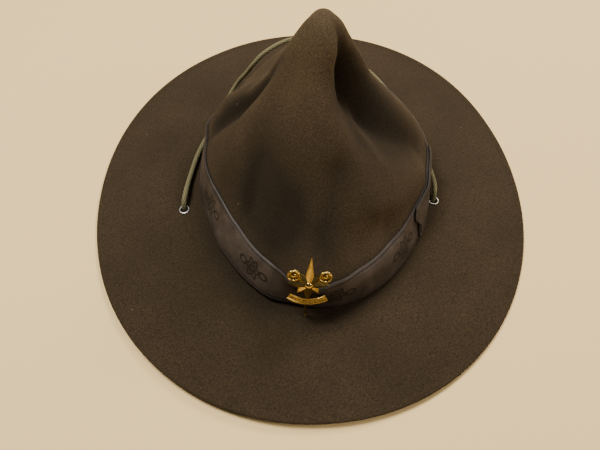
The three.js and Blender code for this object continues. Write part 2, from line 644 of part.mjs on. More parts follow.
// Badge: a compass star between two roundels, over a plain curved scroll, with its pin behind
function makeBadge() {
  const { x: aside, y: above } = BADGE_ROUNDEL_PLACE;
  const roundels = [-aside, aside].map((x) => makeRoundel().translate(x, above, 0));
  const pieces = [makeStar(), makeScroll(), ...roundels];
  const direction = THREE.MathUtils.radToDeg(Math.atan2(-CROWN_HALF_LENGTH, BADGE_X - CROWN_CENTRE.x));
  const bandFace = (distance) => {
    const height = heightAlongWall(direction, distance);
    return wallPoint(direction, height, GAP + BAND_THICKNESS);
  };
  const bandTop = bandFace(GAP + BAND_WIDTH);
  const bandFront = Math.min(bandTop.y, bandFace(GAP).y);
  const tilt = radians(BADGE_TILT);
  const back = bandTop.y - BADGE_STAND_OFF + (BADGE_HEIGHT - bandTop.z) * Math.tan(tilt);
  const place = new THREE.Matrix4().makeTranslation(BADGE_X, back, BADGE_HEIGHT)
    .multiply(new THREE.Matrix4().makeRotationX(Math.PI / 2 - tilt))
    .multiply(new THREE.Matrix4().makeRotationZ(-radians(BADGE_LEAN)));
  for (const piece of pieces) piece.applyMatrix4(place);
  const scrollDrop = BADGE_SCROLL_DROP - BADGE_SCROLL_BAR / 2;
  const pinTop = BADGE_HEIGHT - scrollDrop * Math.cos(tilt);
  const pinFoot = FOOT_HEIGHT - ROOT_RADIUS + PIN_BEAD_RADIUS + 2 * GAP;
  const pinFront = Math.min(bandFront - GAP - PIN_RADIUS, back - scrollDrop * Math.sin(tilt));
  const pinAt = (height) => [BADGE_X + PIN_SHIFT, pinFront, height];
  pieces.push(new THREE.CylinderGeometry(PIN_RADIUS, PIN_RADIUS, pinTop - pinFoot, PIN_SIDES)
    .rotateX(Math.PI / 2)
    .translate(...pinAt((pinTop + pinFoot) / 2)));
  pieces.push(new THREE.SphereGeometry(PIN_BEAD_RADIUS, PIN_SIDES, BEAD_ROWS)
    .translate(...pinAt(pinFoot)));
  return fromManifold(pieces.map(toManifold).reduce((sum, piece) => sum.add(piece)));
}

// A smooth curve through the route, stepped evenly between its points, so that the steps are
// short where the points are close
class RouteCurve extends THREE.CatmullRomCurve3 {
  getPointAt(share, target) {
    return this.getPoint(share, target);
  }

  getTangentAt(share, target) {
    return this.getTangent(share, target);
  }
}
const routePoints = cordRoute.map(({ across, along, up }) => (
  new THREE.Vector3(across * CROWN_HALF_WIDTH, along * CROWN_HALF_LENGTH, up * CROWN_RISE)));
const cordCurve = new RouteCurve(routePoints, false, 'centripetal');

// Chin cord: one braided cord of even thickness along its route
function makeChinCord() {
  const section = new THREE.Shape();
  const radius = CORD_DIAMETER / 2;
  for (let k = 0; k < CORD_SIDES; k += 1) {
    const angle = (2 * Math.PI * (k + 0.5)) / CORD_SIDES;
    const point = [radius * Math.cos(angle), radius * Math.sin(angle)];
    if (k === 0) section.moveTo(...point);
    else section.lineTo(...point);
  }
  section.closePath();
  const steps = CORD_STEPS * (cordRoute.length - 1);
  return new THREE.ExtrudeGeometry(section, { steps, extrudePath: cordCurve });
}

// Cord knot: two wraps of cord side by side, which join the cord's ends
function makeCordKnot() {
  const half = KNOT_LENGTH / 2;
  const profile = [
    [0, -half], [KNOT_RADIUS * KNOT_END, -half], [KNOT_RADIUS, -half * KNOT_WRAP.outer],
    [KNOT_RADIUS, -half * KNOT_WRAP.inner], [KNOT_RADIUS * KNOT_WAIST, 0],
    [KNOT_RADIUS, half * KNOT_WRAP.inner], [KNOT_RADIUS, half * KNOT_WRAP.outer],
    [KNOT_RADIUS * KNOT_END, half], [0, half],
  ].map(([x, y]) => new THREE.Vector2(x, y));
  const geometry = new THREE.LatheGeometry(profile, KNOT_SIDES);
  const ends = [cordCurve.getPoint(0), cordCurve.getPoint(1)];
  const line = ends[0].clone().sub(ends[1]).normalize();
  geometry.applyQuaternion(new THREE.Quaternion().setFromUnitVectors(new THREE.Vector3(0, 1, 0), line));
  const middle = ends[0].add(ends[1]).multiplyScalar(0.5);
  geometry.translate(middle.x, middle.y, middle.z);
  return geometry;
}

// Materials and scene graph
const felt = new THREE.MeshStandardMaterial({ color: 0x463526, roughness: 0.95, metalness: 0 });
const leather = new THREE.MeshStandardMaterial({ color: 0x4a3d33, roughness: 0.6, metalness: 0 });
const nickel = new THREE.MeshStandardMaterial({ color: 0xb9bab6, roughness: 0.3, metalness: 1 });
const brass = new THREE.MeshStandardMaterial({ color: 0xb08a3c, roughness: 0.3, metalness: 1 });
const braid = new THREE.MeshStandardMaterial({ color: 0x6f6a4c, roughness: 0.85, metalness: 0 });

const hat = new THREE.Group();
function add(name, geometry, material) {
  const mesh = new THREE.Mesh(geometry, material.clone());
  mesh.name = name;
  hat.add(mesh);
}

add('felt_body', makeFeltBody(), felt);
add('hat_band', makeHatBand(), leather);
add('band_tongue', makeBandTongue(), leather);
add('eyelet_left', makeEyelet(EYELET_LEFT), nickel);
add('eyelet_right', makeEyelet(EYELET_RIGHT), nickel);
add('badge', makeBadge(), brass);
add('chin_cord', makeChinCord(), braid);
add('cord_knot', makeCordKnot(), braid);

export default hat;
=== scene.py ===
# Campaign hat: brown felt, leather band with its tongue, nickel eyelets, brass badge and olive chin cord
import bpy
import numpy as np
from mathutils import Matrix, Vector


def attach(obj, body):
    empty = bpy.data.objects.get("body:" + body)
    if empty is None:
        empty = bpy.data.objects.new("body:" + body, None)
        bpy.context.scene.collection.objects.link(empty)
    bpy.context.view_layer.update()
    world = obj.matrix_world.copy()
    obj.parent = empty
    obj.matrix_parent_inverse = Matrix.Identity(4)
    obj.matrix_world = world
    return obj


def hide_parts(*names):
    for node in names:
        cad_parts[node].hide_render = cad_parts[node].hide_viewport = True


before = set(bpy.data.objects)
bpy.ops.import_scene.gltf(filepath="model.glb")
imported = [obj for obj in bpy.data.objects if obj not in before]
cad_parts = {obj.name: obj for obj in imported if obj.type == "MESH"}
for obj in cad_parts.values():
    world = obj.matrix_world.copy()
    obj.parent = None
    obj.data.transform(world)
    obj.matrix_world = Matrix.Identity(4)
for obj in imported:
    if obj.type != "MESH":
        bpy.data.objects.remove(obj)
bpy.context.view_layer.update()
scene = bpy.context.scene

MM = 0.001  # lengths are in millimetres until a mesh is made

# Sizes of the felt, as in the solids
BRIM_HALF_WIDTH = 162
BRIM_HALF_LENGTH = 187.2
BRIM_EDGE_POWER = 2.07
FELT_THICKNESS = 2
BRIM_RISE = 7.6
BRIM_DROOP_POWER = 1.6
REST_STRIP = 6
ROOT_RADIUS = 1.6
FOOT_HEIGHT = BRIM_RISE + FELT_THICKNESS + ROOT_RADIUS
CROWN_HALF_WIDTH = 85.3
CROWN_HALF_LENGTH = 111.5
CROWN_RISE = 129.8
CROWN_CENTRE = np.array([2.3, -2])
PEAK_SHIFT = np.array([8.2, 20.5])
FOLD_FADE = 0.3
FOLD_REACH = 0.14
FOLD_BLEND = 5
FOLD_TURNOVER = 0.02

# Sizes of the trim
GAP = 0.3
BAND_WIDTH = 25.4
BAND_THICKNESS = 1.6
BAND_CREASE = 2.5  # from each edge of the leather to its creased line
CREASE_DEPTH = 0.3
CREASE_WIDTH = 0.35
EDGE_ROUNDING = 0.5
TONGUE_THICKNESS = 1.5
TONGUE_START = 321
TONGUE_END = 362
TONGUE_WAVE = 2.2
CORD_DIAMETER = 3.6
STAMP_SPACING = 62
STAMP_SHIFT = 56
STAMP_LINE = 0.9  # half the width of a pressed line
ROSETTE_RADIUS = 5.3
ROSETTE_WAVE = 1.2
ROSETTE_PETALS = 6
LEAF_PLACE = 9.9
LEAF_RADIUS = 3.3
BRAID_PITCH = 3.6  # along the cord, from one crossing of a strand to its next
BRAID_STRANDS = 6  # in each of the two directions
BRAID_SWELL = 0.06  # of the cord's radius, where a strand crosses
EYELET_HOLE_RADIUS = 2.6
EYELET_METAL = 0.45
EYELET_FLANGE_RADIUS = 4.2
EYELET_ROLL = 0.8  # height of the rounded flange
EYELETS = {"left": (-1.1 * CROWN_HALF_WIDTH, -0.22 * CROWN_HALF_LENGTH),
           "right": (1.086 * CROWN_HALF_WIDTH, -0.224 * CROWN_HALF_LENGTH)}
KNOT_RADIUS = 3.6
KNOT_LENGTH = 11

# Sizes of the badge
BADGE_PLATE = 1.4
BADGE_DISC = 0.8
BADGE_RING_CREST = 2
BADGE_TOP_POINT = 20.5
BADGE_UPPER_POINT = 11.5
BADGE_SIDE_POINT = 13
BADGE_LOWER_POINT = 9.5
BADGE_STAR_WAIST = 6.8
BADGE_STAR_EDGE = 1
BADGE_STAR_RELIEF = 2.4
BADGE_ROUNDEL_RADIUS = 4.2
BADGE_ROUNDEL_BAR = 1.5
BADGE_ROUNDEL_BEAD = 1.9
BADGE_ROUNDEL_PLACE = (9.8, 6.2)
ROPE_STRANDS = 18
ROPE_SWELL = 0.1
BADGE_SCROLL_RADIUS = 24
BADGE_SCROLL_LENGTH = 28
BADGE_SCROLL_BAR = 4.6
BADGE_SCROLL_DROP = 15.8
BADGE_HEART_RADIUS = 2.6
SCROLL_STUDS = 9
SCROLL_STUD_RADIUS = 0.55
BADGE_TILT = 22
BADGE_LEAN = 6
BADGE_X = -4.4
BADGE_HEIGHT = 42
BADGE_STAND_OFF = 1.2
PIN_RADIUS = 0.8
PIN_BEAD_RADIUS = 1.1
PIN_SHIFT = -2.4

# Crown sections from the foot to the peak. The first column is the share of the crown's rise, and
# the others are shares of the foot's oval to the right, rear right, rear, rear left, left,
# front left, front and front right.
CROWN_SECTIONS = np.array([
    [0.000, 1.000, 1.000, 1.000, 1.000, 0.990, 0.925, 0.985, 0.990],
    [0.170, 0.985, 0.950, 0.980, 0.940, 0.935, 0.820, 1.000, 0.905],
    [0.345, 0.860, 0.730, 0.870, 0.750, 0.770, 0.680, 0.800, 0.760],
    [0.510, 0.650, 0.490, 0.690, 0.500, 0.600, 0.530, 0.600, 0.575],
    [0.660, 0.460, 0.315, 0.490, 0.330, 0.450, 0.385, 0.440, 0.380],
    [0.815, 0.310, 0.205, 0.300, 0.210, 0.290, 0.240, 0.265, 0.225],
    [0.900, 0.205, 0.165, 0.200, 0.165, 0.205, 0.190, 0.195, 0.175],
    [0.960, 0.135, 0.115, 0.130, 0.115, 0.135, 0.125, 0.130, 0.115],
    [0.990, 0.072, 0.065, 0.070, 0.065, 0.072, 0.068, 0.068, 0.064],
    [1.000, 0.000, 0.000, 0.000, 0.000, 0.000, 0.000, 0.000, 0.000],
])

# Folds pressed into the crown. Each row of a fold is a point of its line: direction in degrees, height,
# depth, width on the side towards the front or the foot, and width on the other side. Heights are
# shares of the rise, the others of the foot's half width. A depth below nought is a bulge.
CROWN_FOLDS = {
    "front right dent": [
        (316, 0.93, 0.050, 0.045, 0.09),
        (301, 0.77, 0.190, 0.060, 0.20),
        (302, 0.66, 0.240, 0.090, 0.29),
        (324, 0.52, 0.240, 0.130, 0.28),
        (348, 0.33, 0.090, 0.110, 0.16),
    ],
    "front right shelf": [
        (300, 0.34, -0.040, 0.120, 0.12),
        (335, 0.24, -0.040, 0.120, 0.12),
    ],
    "left rear fold": [
        (184, 0.78, 0.030, 0.050, 0.10),
        (172, 0.60, 0.100, 0.060, 0.13),
        (167, 0.44, 0.130, 0.060, 0.14),
        (165, 0.30, 0.080, 0.060, 0.10),
    ],
    "left rear bulge": [
        (155, 0.20, -0.050, 0.140, 0.14),
        (150, 0.34, -0.080, 0.140, 0.14),
        (146, 0.48, -0.030, 0.140, 0.14),
    ],
    "front left dent": [
        (230, 0.38, 0.050, 0.160, 0.22),
        (252, 0.33, 0.060, 0.120, 0.18),
    ],
    "front right valley": [
        (277, 0.50, 0.040, 0.080, 0.12),
        (270, 0.30, 0.050, 0.070, 0.12),
    ],
    "right flat above the band": [
        (285, 0.24, 0.100, 0.120, 0.14),
        (299, 0.23, 0.085, 0.120, 0.14),
    ],
    "left flat above the band": [
        (232, 0.24, 0.075, 0.110, 0.13),
        (250, 0.24, 0.075, 0.110, 0.13),
    ],
    "front prow": [
        (262, 0.20, -0.055, 0.080, 0.10),
        (269, 0.18, -0.045, 0.080, 0.10),
    ],
    "front left foot": [
        (226, 0.00, -0.030, 0.200, 0.20),
        (252, 0.00, -0.040, 0.120, 0.12),
    ],
}

# Depth at which the shade painted into a dent's felt is darkest, as a share of the foot's half width
DENT_PAINTED_SHADE = {"front right dent": 0.09, "left rear fold": 0.06, "front left dent": 0.045, "front right valley": 0.08,
             "left flat above the band": 0.08}

# Patches of shade painted on the felt without a dent, and of light painted where the depth is below nought, in the
# same columns as the folds. The depth is how dark the painted shade is, and below nought how pale the painted light
# is.
PATCHES_OF_PAINTED_SHADE_AND_LIGHT = {
    "left groove": [
        (140, 0.50, 0.30, 0.06, 0.06),
        (158, 0.43, 0.70, 0.08, 0.08),
        (164, 0.29, 0.70, 0.08, 0.08),
        (171, 0.20, 0.40, 0.07, 0.07),
    ],
    "left face above the band": [
        (204, 0.27, 0.40, 0.12, 0.12),
        (226, 0.27, 0.40, 0.14, 0.14),
    ],
    "front left face": [
        (230, 0.42, 0.30, 0.16, 0.16),
        (256, 0.42, 0.35, 0.16, 0.16),
    ],
    "front face": [
        (260, 0.34, 0.25, 0.12, 0.12),
        (273, 0.30, 0.20, 0.12, 0.12),
    ],
    "right shelf": [
        (287, 0.30, -0.45, 0.08, 0.08),
        (304, 0.24, -0.50, 0.10, 0.10),
    ],
    "left ridge": [
        (190, 0.60, -0.40, 0.10, 0.10),
        (196, 0.46, -0.30, 0.10, 0.10),
    ],
}

# Felt rubbed paler by hands towards the peak, with light painted on the upper crown too: the height at which it
# starts, the height over which it grows, and the palest painted light outside it
RUBBED_AND_PAINTED_LIGHT_START = 0.52
RUBBED_AND_PAINTED_LIGHT_GROWTH = 0.33
PALEST_PAINTED_LIGHT = -0.7

# Shadow of the crown and band painted on the brim beside the band: its darkest direction, how dark it is, and its
# width as a share of the brim's
PAINTED_SHADOW_DIRECTION = 248
PAINTED_SHADOW_DEPTH = 0.4
PAINTED_SHADOW_SHARE = 0.18

# Lift of the brim's edge off the surface, in the same eight directions, as shares of its rise
EDGE_LIFT = np.array([-0.2, 0.26, 0.2, -0.13, -0.2, 0.33, 0.42, 0.07])

# Route of the chin cord: shares of the foot's half width and half length and of the crown's rise
CORD_ROUTE = np.array([
    [-0.795, 0.056, 0.0277], [-0.844, -0.117, 0.0169], [-0.932, -0.197, 0.0162],
    [-1.015, -0.219, 0.0162], [-1.059, -0.22, 0.0231], [-1.089, -0.22, 0.0431],
    [-1.1, -0.22, 0.0701], [-1.097, -0.21, 0.0963], [-1.093, -0.181, 0.1133],
    [-1.086, -0.135, 0.1171], [-1.067, 0, 0.1055], [-1.005, 0.251, 0.1017],
    [-0.883, 0.498, 0.1094], [-0.809, 0.604, 0.1364], [-0.727, 0.709, 0.1949],
    [-0.637, 0.767, 0.2619], [-0.545, 0.753, 0.3428], [-0.475, 0.735, 0.416],
    [-0.375, 0.785, 0.4607], [-0.141, 0.92, 0.4669], [0.07, 0.946, 0.4584],
    [0.27, 0.933, 0.416], [0.46, 0.897, 0.3313], [0.64, 0.848, 0.2542],
    [0.783, 0.752, 0.1926], [0.932, 0.556, 0.1256], [1.038, 0.318, 0.1048],
    [1.094, 0.054, 0.104], [1.106, -0.081, 0.114], [1.101, -0.161, 0.1179],
    [1.093, -0.204, 0.1025], [1.086, -0.224, 0.0701], [1.072, -0.224, 0.0401],
    [1.025, -0.223, 0.0177], [0.926, -0.184, 0.0162], [0.848, -0.036, 0.0162],
    [0.809, 0.287, 0.0162], [0.516, 0.717, 0.0162], [0.023, 0.861, 0.0162],
    [-0.516, 0.682, 0.0162], [-0.78, 0.341, 0.0162], [-0.79, 0.16, 0.0277],
]) * [CROWN_HALF_WIDTH, CROWN_HALF_LENGTH, CROWN_RISE]


# Camera at the photo's angle
CAMERA_AIM = np.array([-7.823, -37.524, 0])
CAMERA_DISTANCE = 440
CAMERA_ELEVATION = 54
CAMERA_AZIMUTH = -1.024
CAMERA_ROLL = -1.084
FOCAL_PIXELS = 587.74
IMAGE_WIDTH = 600


def place_camera():
    """Camera on a sphere round its aim. Its right and up axes are turned by the roll about the line of sight."""
    azimuth, elevation, roll = np.radians([CAMERA_AZIMUTH, CAMERA_ELEVATION, CAMERA_ROLL])
    back = np.array([np.sin(azimuth) * np.cos(elevation), -np.cos(azimuth) * np.cos(elevation), np.sin(elevation)])
    right = np.cross(-back, [0, 0, 1])
    right /= np.linalg.norm(right)
    up = np.cross(right, -back)
    turned_right = np.cos(roll) * right + np.sin(roll) * up
    turned_up = np.cos(roll) * up - np.sin(roll) * right
    data = bpy.data.cameras.new("photo_camera")
    data.sensor_width = 36
    data.lens = data.sensor_width * FOCAL_PIXELS / IMAGE_WIDTH
    camera = bpy.data.objects.new("photo_camera", data)
    scene.collection.objects.link(camera)
    matrix = np.eye(4)
    matrix[:3, 0], matrix[:3, 1], matrix[:3, 2] = turned_right, turned_up, back
    matrix[:3, 3] = (CAMERA_AIM + CAMERA_DISTANCE * back) * MM
    camera.matrix_world = Matrix(matrix.tolist())
    scene.camera = camera


# Meshes from grids

def unit(vectors):
    return vectors / np.linalg.norm(vectors, axis=-1, keepdims=True)


def shell(points, first_pole=None, last_pole=None, ring_rows=False, ring_columns=True, patch=None):
    """A grid of points as quads: corner (i, j), (i, j+1), (i+1, j+1), (i+1, j). Rings join their last row or
    column to the first, and a pole closes an end with a fan. Patch gives each grid corner its two surface
    coordinates, with one column more than the points where the columns close."""
    rows, columns = points.shape[:2]
    i = np.arange(rows if ring_rows else rows - 1)[:, None]
    j = np.arange(columns if ring_columns else columns - 1)[None, :]
    corners = [(i, j), (i, j + 1), (i + 1, j + 1), (i + 1, j)]
    quads = np.stack([(a % rows) * columns + b % columns for a, b in corners], -1).reshape(-1, 4)
    vertices = points.reshape(-1, 3)
    fans = []
    ring = np.arange(columns)
    for pole, base, turned in ((first_pole, 0, True), (last_pole, (rows - 1) * columns, False)):
        if pole is None:
            continue
        tip = np.full(columns, len(vertices))
        vertices = np.vstack([vertices, pole])
        pair = (base + ring, base + (ring + 1) % columns)
        fans.append(np.stack([pair[1], pair[0], tip] if turned else [pair[0], pair[1], tip], -1))
    fans = np.concatenate(fans) if fans else np.zeros((0, 3), int)
    wrapped = None
    if patch is not None:
        wrapped = np.stack([patch[np.minimum(a, patch.shape[0] - 1), b] for a, b in corners], 2).reshape(-1, 2)
        wrapped = np.vstack([wrapped, np.zeros((3 * len(fans), 2))])
    return {"vertices": vertices, "quads": quads, "fans": fans, "patch": wrapped}


def turned_inside_out(piece):
    """The same shell with every face's corners in the opposite order."""
    return dict(piece, quads=piece["quads"][:, ::-1], fans=piece["fans"][:, ::-1])


def moved(piece, matrix, place):
    """The same shell with each point turned by a matrix, then shifted to a place."""
    return dict(piece, vertices=piece["vertices"] @ np.asarray(matrix).T + np.asarray(place))


def make_piece(name, shells, finish, nodes, sharp=40, height=None):
    """One object from several shells, in metres, which rides on the hat in place of its CAD nodes."""
    starts = np.cumsum([0] + [len(piece["vertices"]) for piece in shells[:-1]])
    vertices = np.concatenate([piece["vertices"] for piece in shells])
    faces = []
    for start, piece in zip(starts, shells):
        faces += (piece["quads"] + start).tolist() + (piece["fans"] + start).tolist()
    mesh = bpy.data.meshes.new(name)
    mesh.from_pydata((vertices * MM).tolist(), [], faces)
    if shells[0]["patch"] is not None:
        layer = mesh.uv_layers.new(name="patch")
        layer.data.foreach_set("uv", np.concatenate([piece["patch"] for piece in shells]).ravel())
    if height is not None:
        mesh.attributes.new("relief", "FLOAT", "POINT").data.foreach_set("value", height.ravel())
    mesh.polygons.foreach_set("use_smooth", np.ones(len(faces), bool))
    if sharp:
        mesh.set_sharp_from_angle(angle=np.radians(sharp))
    mesh.validate()
    mesh.materials.append(finish)
    piece = bpy.data.objects.new(name, mesh)
    scene.collection.objects.link(piece)
    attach(piece, "root")
    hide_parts(*nodes)
    return piece


def lathe(profile, sides):
    """A profile of (radius, height) turned about Z: x = r cos, y = r sin. Its last point joins its first."""
    profile = np.asarray(profile, float)
    angle = np.linspace(0, 2 * np.pi, sides, endpoint=False)
    radius, height = profile[:, :1], profile[:, 1:]
    points = np.stack([radius * np.cos(angle), radius * np.sin(angle), height + 0 * angle], -1)
    return shell(points, ring_rows=True)


# The crown's surface

def around_compass(values, direction):
    """Catmull-Rom curve through eight values 45 degrees apart."""
    place = (direction / 45) % 8
    first = np.floor(place).astype(int)
    u = place - first
    p0, p1, p2, p3 = (np.take_along_axis(values, ((first + step) % 8)[..., None], -1)[..., 0]
                      for step in (-1, 0, 1, 2))
    return 0.5 * (2 * p1 + (p2 - p0) * u + (2 * p0 - 5 * p1 + 4 * p2 - p3) * u**2
                  + (3 * p1 - p0 - 3 * p2 + p3) * u**3)


def climb(height):
    """1 - sqrt(1 - height), which rounds the peak."""
    return 1 - np.sqrt(np.clip(1 - height, 0, 1))


SECTION_PLACES = climb(CROWN_SECTIONS[:, 0])
SECTION_STEPS = np.diff(SECTION_PLACES)[:, None]
SECTION_RISES = np.diff(CROWN_SECTIONS[:, 1:], axis=0) / SECTION_STEPS


def section_slopes():
    """Slopes at the sections: weighted harmonic means of the rises on both sides, so the curve never overshoots."""
    before, after = SECTION_RISES[:-1], SECTION_RISES[1:]
    weight_before = 2 * SECTION_STEPS[1:] + SECTION_STEPS[:-1]
    weight_after = SECTION_STEPS[1:] + 2 * SECTION_STEPS[:-1]
    same = before * after > 0
    safe_before, safe_after = np.where(same, before, 1), np.where(same, after, 1)
    middle = (weight_before + weight_after) / (weight_before / safe_before + weight_after / safe_after)
    return np.vstack([SECTION_RISES[:1], np.where(same, middle, 0), SECTION_RISES[-1:]])


SECTION_SLOPES = section_slopes()


def section_shares(height):
    """Cubic Hermite curve between the two sections round a height, in all eight directions."""
    place = climb(height)
    k = np.clip(np.searchsorted(SECTION_PLACES, place, side="right") - 1, 0, len(SECTION_PLACES) - 2)
    step = SECTION_STEPS[k, 0][..., None]
    s = (place - SECTION_PLACES[k])[..., None] / step
    values, slopes = CROWN_SECTIONS[:, 1:], SECTION_SLOPES
    return (values[k] * (1 + 2 * s) * (1 - s)**2 + slopes[k] * step * s * (1 - s)**2
            + values[k + 1] * s**2 * (3 - 2 * s) + slopes[k + 1] * step * s**2 * (s - 1))


def foot_oval(direction):
    """Radius of an ellipse in a direction."""
    angle = np.radians(direction)
    return 1 / np.hypot(np.cos(angle) / CROWN_HALF_WIDTH, np.sin(angle) / CROWN_HALF_LENGTH)


def turn(degrees):
    return (degrees + 180) % 360 - 180


def fold_depth(points, direction, height, radius):
    """Depth of one fold: depth * exp(-(distance / width)^2) from each piece of its line, blended by the root of the
    sum of powers, with one width on the front or lower side of the line and another on the far side."""
    reach = np.maximum(radius, FOLD_REACH * CROWN_HALF_WIDTH)
    pressed = []
    for start, end in zip(points[:-1], points[1:]):
        across, up = np.radians(turn(direction - start[0])) * reach, (height - start[1]) * CROWN_RISE
        line_across, line_up = np.radians(turn(end[0] - start[0])) * reach, (end[1] - start[1]) * CROWN_RISE
        share = np.clip((across * line_across + up * line_up) / (line_across**2 + line_up**2), 0, 1)
        distance = np.hypot(across - share * line_across, up - share * line_up)
        depth, front_width, far_width = (start[k] + (end[k] - start[k]) * share for k in (2, 3, 4))
        aside = (across * line_up - up * line_across) / np.hypot(line_across, line_up)
        side = aside / np.hypot(distance, FOLD_TURNOVER * CROWN_HALF_WIDTH)
        width = far_width + (front_width - far_width) * (0.5 + 0.5 * side)
        pressed.append(depth * np.exp(-(distance / (width * CROWN_HALF_WIDTH))**2))
    joined = (np.abs(np.stack(pressed))**FOLD_BLEND).sum(0)**(1 / FOLD_BLEND)
    return np.sign(points[0][2]) * joined * CROWN_HALF_WIDTH


def painted_shade_and_light(direction, height):
    """How dark the felt is painted for shade: the sum of the dents' depths, each against the depth at which its
    painted shade is darkest, and of the painted patches, which paint light below nought."""
    direction, height = np.broadcast_arrays(np.asarray(direction, float), np.asarray(height, float))
    smooth = foot_oval(direction) * around_compass(section_shares(height), direction)
    dents = sum(fold_depth(CROWN_FOLDS[name], direction, height, smooth) / depth for name, depth in DENT_PAINTED_SHADE.items())
    painted_patches = sum(fold_depth(points, direction, height, smooth) for points in PATCHES_OF_PAINTED_SHADE_AND_LIGHT.values())
    return (dents + painted_patches) / CROWN_HALF_WIDTH


def crown(direction, height):
    """Outside of the crown: the foot's oval times a smooth share, less the depth of each fold, which fades out
    towards the peak. The middle slides towards the peak with height."""
    direction, height = np.broadcast_arrays(np.asarray(direction, float), np.asarray(height, float))
    smooth = foot_oval(direction) * around_compass(section_shares(height), direction)
    fade = np.minimum(1, smooth / (FOLD_FADE * CROWN_HALF_WIDTH))
    radius = smooth - fade * sum(fold_depth(points, direction, height, smooth) for points in CROWN_FOLDS.values())
    angle = np.radians(direction)
    centre = CROWN_CENTRE + PEAK_SHIFT * height[..., None]
    return np.stack([centre[..., 0] + radius * np.cos(angle), centre[..., 1] + radius * np.sin(angle),
                     FOOT_HEIGHT + CROWN_RISE * height], -1)


def wall(direction, height, offset=0):
    """The crown's surface moved along its normal, the cross product of its slopes round and up."""
    direction, height = np.broadcast_arrays(np.asarray(direction, float), np.asarray(height, float))
    side, rise = 0.5, 0.003
    around = crown(direction + side, height) - crown(direction - side, height)
    top = np.minimum(height + rise, 1 - rise / 3)
    low = np.minimum(height, 1 - 4 * rise / 3) - rise
    normal = unit(np.cross(around, crown(direction, top) - crown(direction, low)))
    return crown(direction, height) + np.asarray(offset)[..., None] * normal


def height_along(direction, distance):
    """Height share at which the wall's length above its foot reaches a distance, read back from summed steps."""
    steps = np.linspace(0, 0.4, 161)
    line = crown(np.asarray(direction, float)[..., None], steps)
    length = np.cumsum(np.linalg.norm(np.diff(line, axis=-2), axis=-1), axis=-1)
    length = np.concatenate([np.zeros(length.shape[:-1] + (1,)), length], -1)
    k = np.clip((length < np.asarray(distance)[..., None]).sum(-1) - 1, 0, len(steps) - 2)
    below = np.take_along_axis(length, k[..., None], -1)[..., 0]
    above = np.take_along_axis(length, k[..., None] + 1, -1)[..., 0]
    return steps[k] + (steps[1] - steps[0]) * (distance - below) / (above - below)


# The brim's surface

def brim_edge(direction):
    """Edge of the brim: an ellipse with a power slightly over 2."""
    angle = np.radians(direction)
    power = BRIM_EDGE_POWER
    sides = np.abs(np.cos(angle) / BRIM_HALF_WIDTH)**power + np.abs(np.sin(angle) / BRIM_HALF_LENGTH)**power
    radius = sides**(-1 / power)
    return np.stack([radius * np.cos(angle), radius * np.sin(angle)], -1)


def brim_root(direction):
    """Circle round which the wall turns into the brim, a corner radius outside the crown's foot."""
    angle = np.radians(direction)
    return crown(direction, 0 * direction)[..., :2] + ROOT_RADIUS * np.stack([np.cos(angle), np.sin(angle)], -1)


def brim(direction, share, offset=0):
    """Brim from its root at share 0 to its edge at share 1. Its underside falls with a power of the share."""
    direction, share = np.broadcast_arrays(np.asarray(direction, float), np.asarray(share, float))
    root, edge = brim_root(direction), brim_edge(direction)
    slope = np.minimum(1, share / (1 - REST_STRIP / np.linalg.norm(edge - root, axis=-1)))
    lift = BRIM_RISE * np.maximum(0, around_compass(np.broadcast_to(EDGE_LIFT, slope.shape + (8,)), direction))
    height = lift * slope**2 + BRIM_RISE * (1 - slope**BRIM_DROOP_POWER) + offset
    return np.concatenate([root + (edge - root) * share[..., None], height[..., None]], -1)


def root_corner(direction, radius, quarter):
    """Quarter turn of the corner between wall and brim, about the corner's centre."""
    direction, quarter = np.broadcast_arrays(np.asarray(direction, float), np.asarray(quarter, float))
    angle, sweep = np.radians(direction), quarter * np.pi / 2
    inward = radius * np.cos(sweep)[..., None] * np.stack([np.cos(angle), np.sin(angle)], -1)
    height = FOOT_HEIGHT - radius * np.sin(sweep)
    return np.concatenate([brim_root(direction) - inward, height[..., None]], -1)


# The pieces

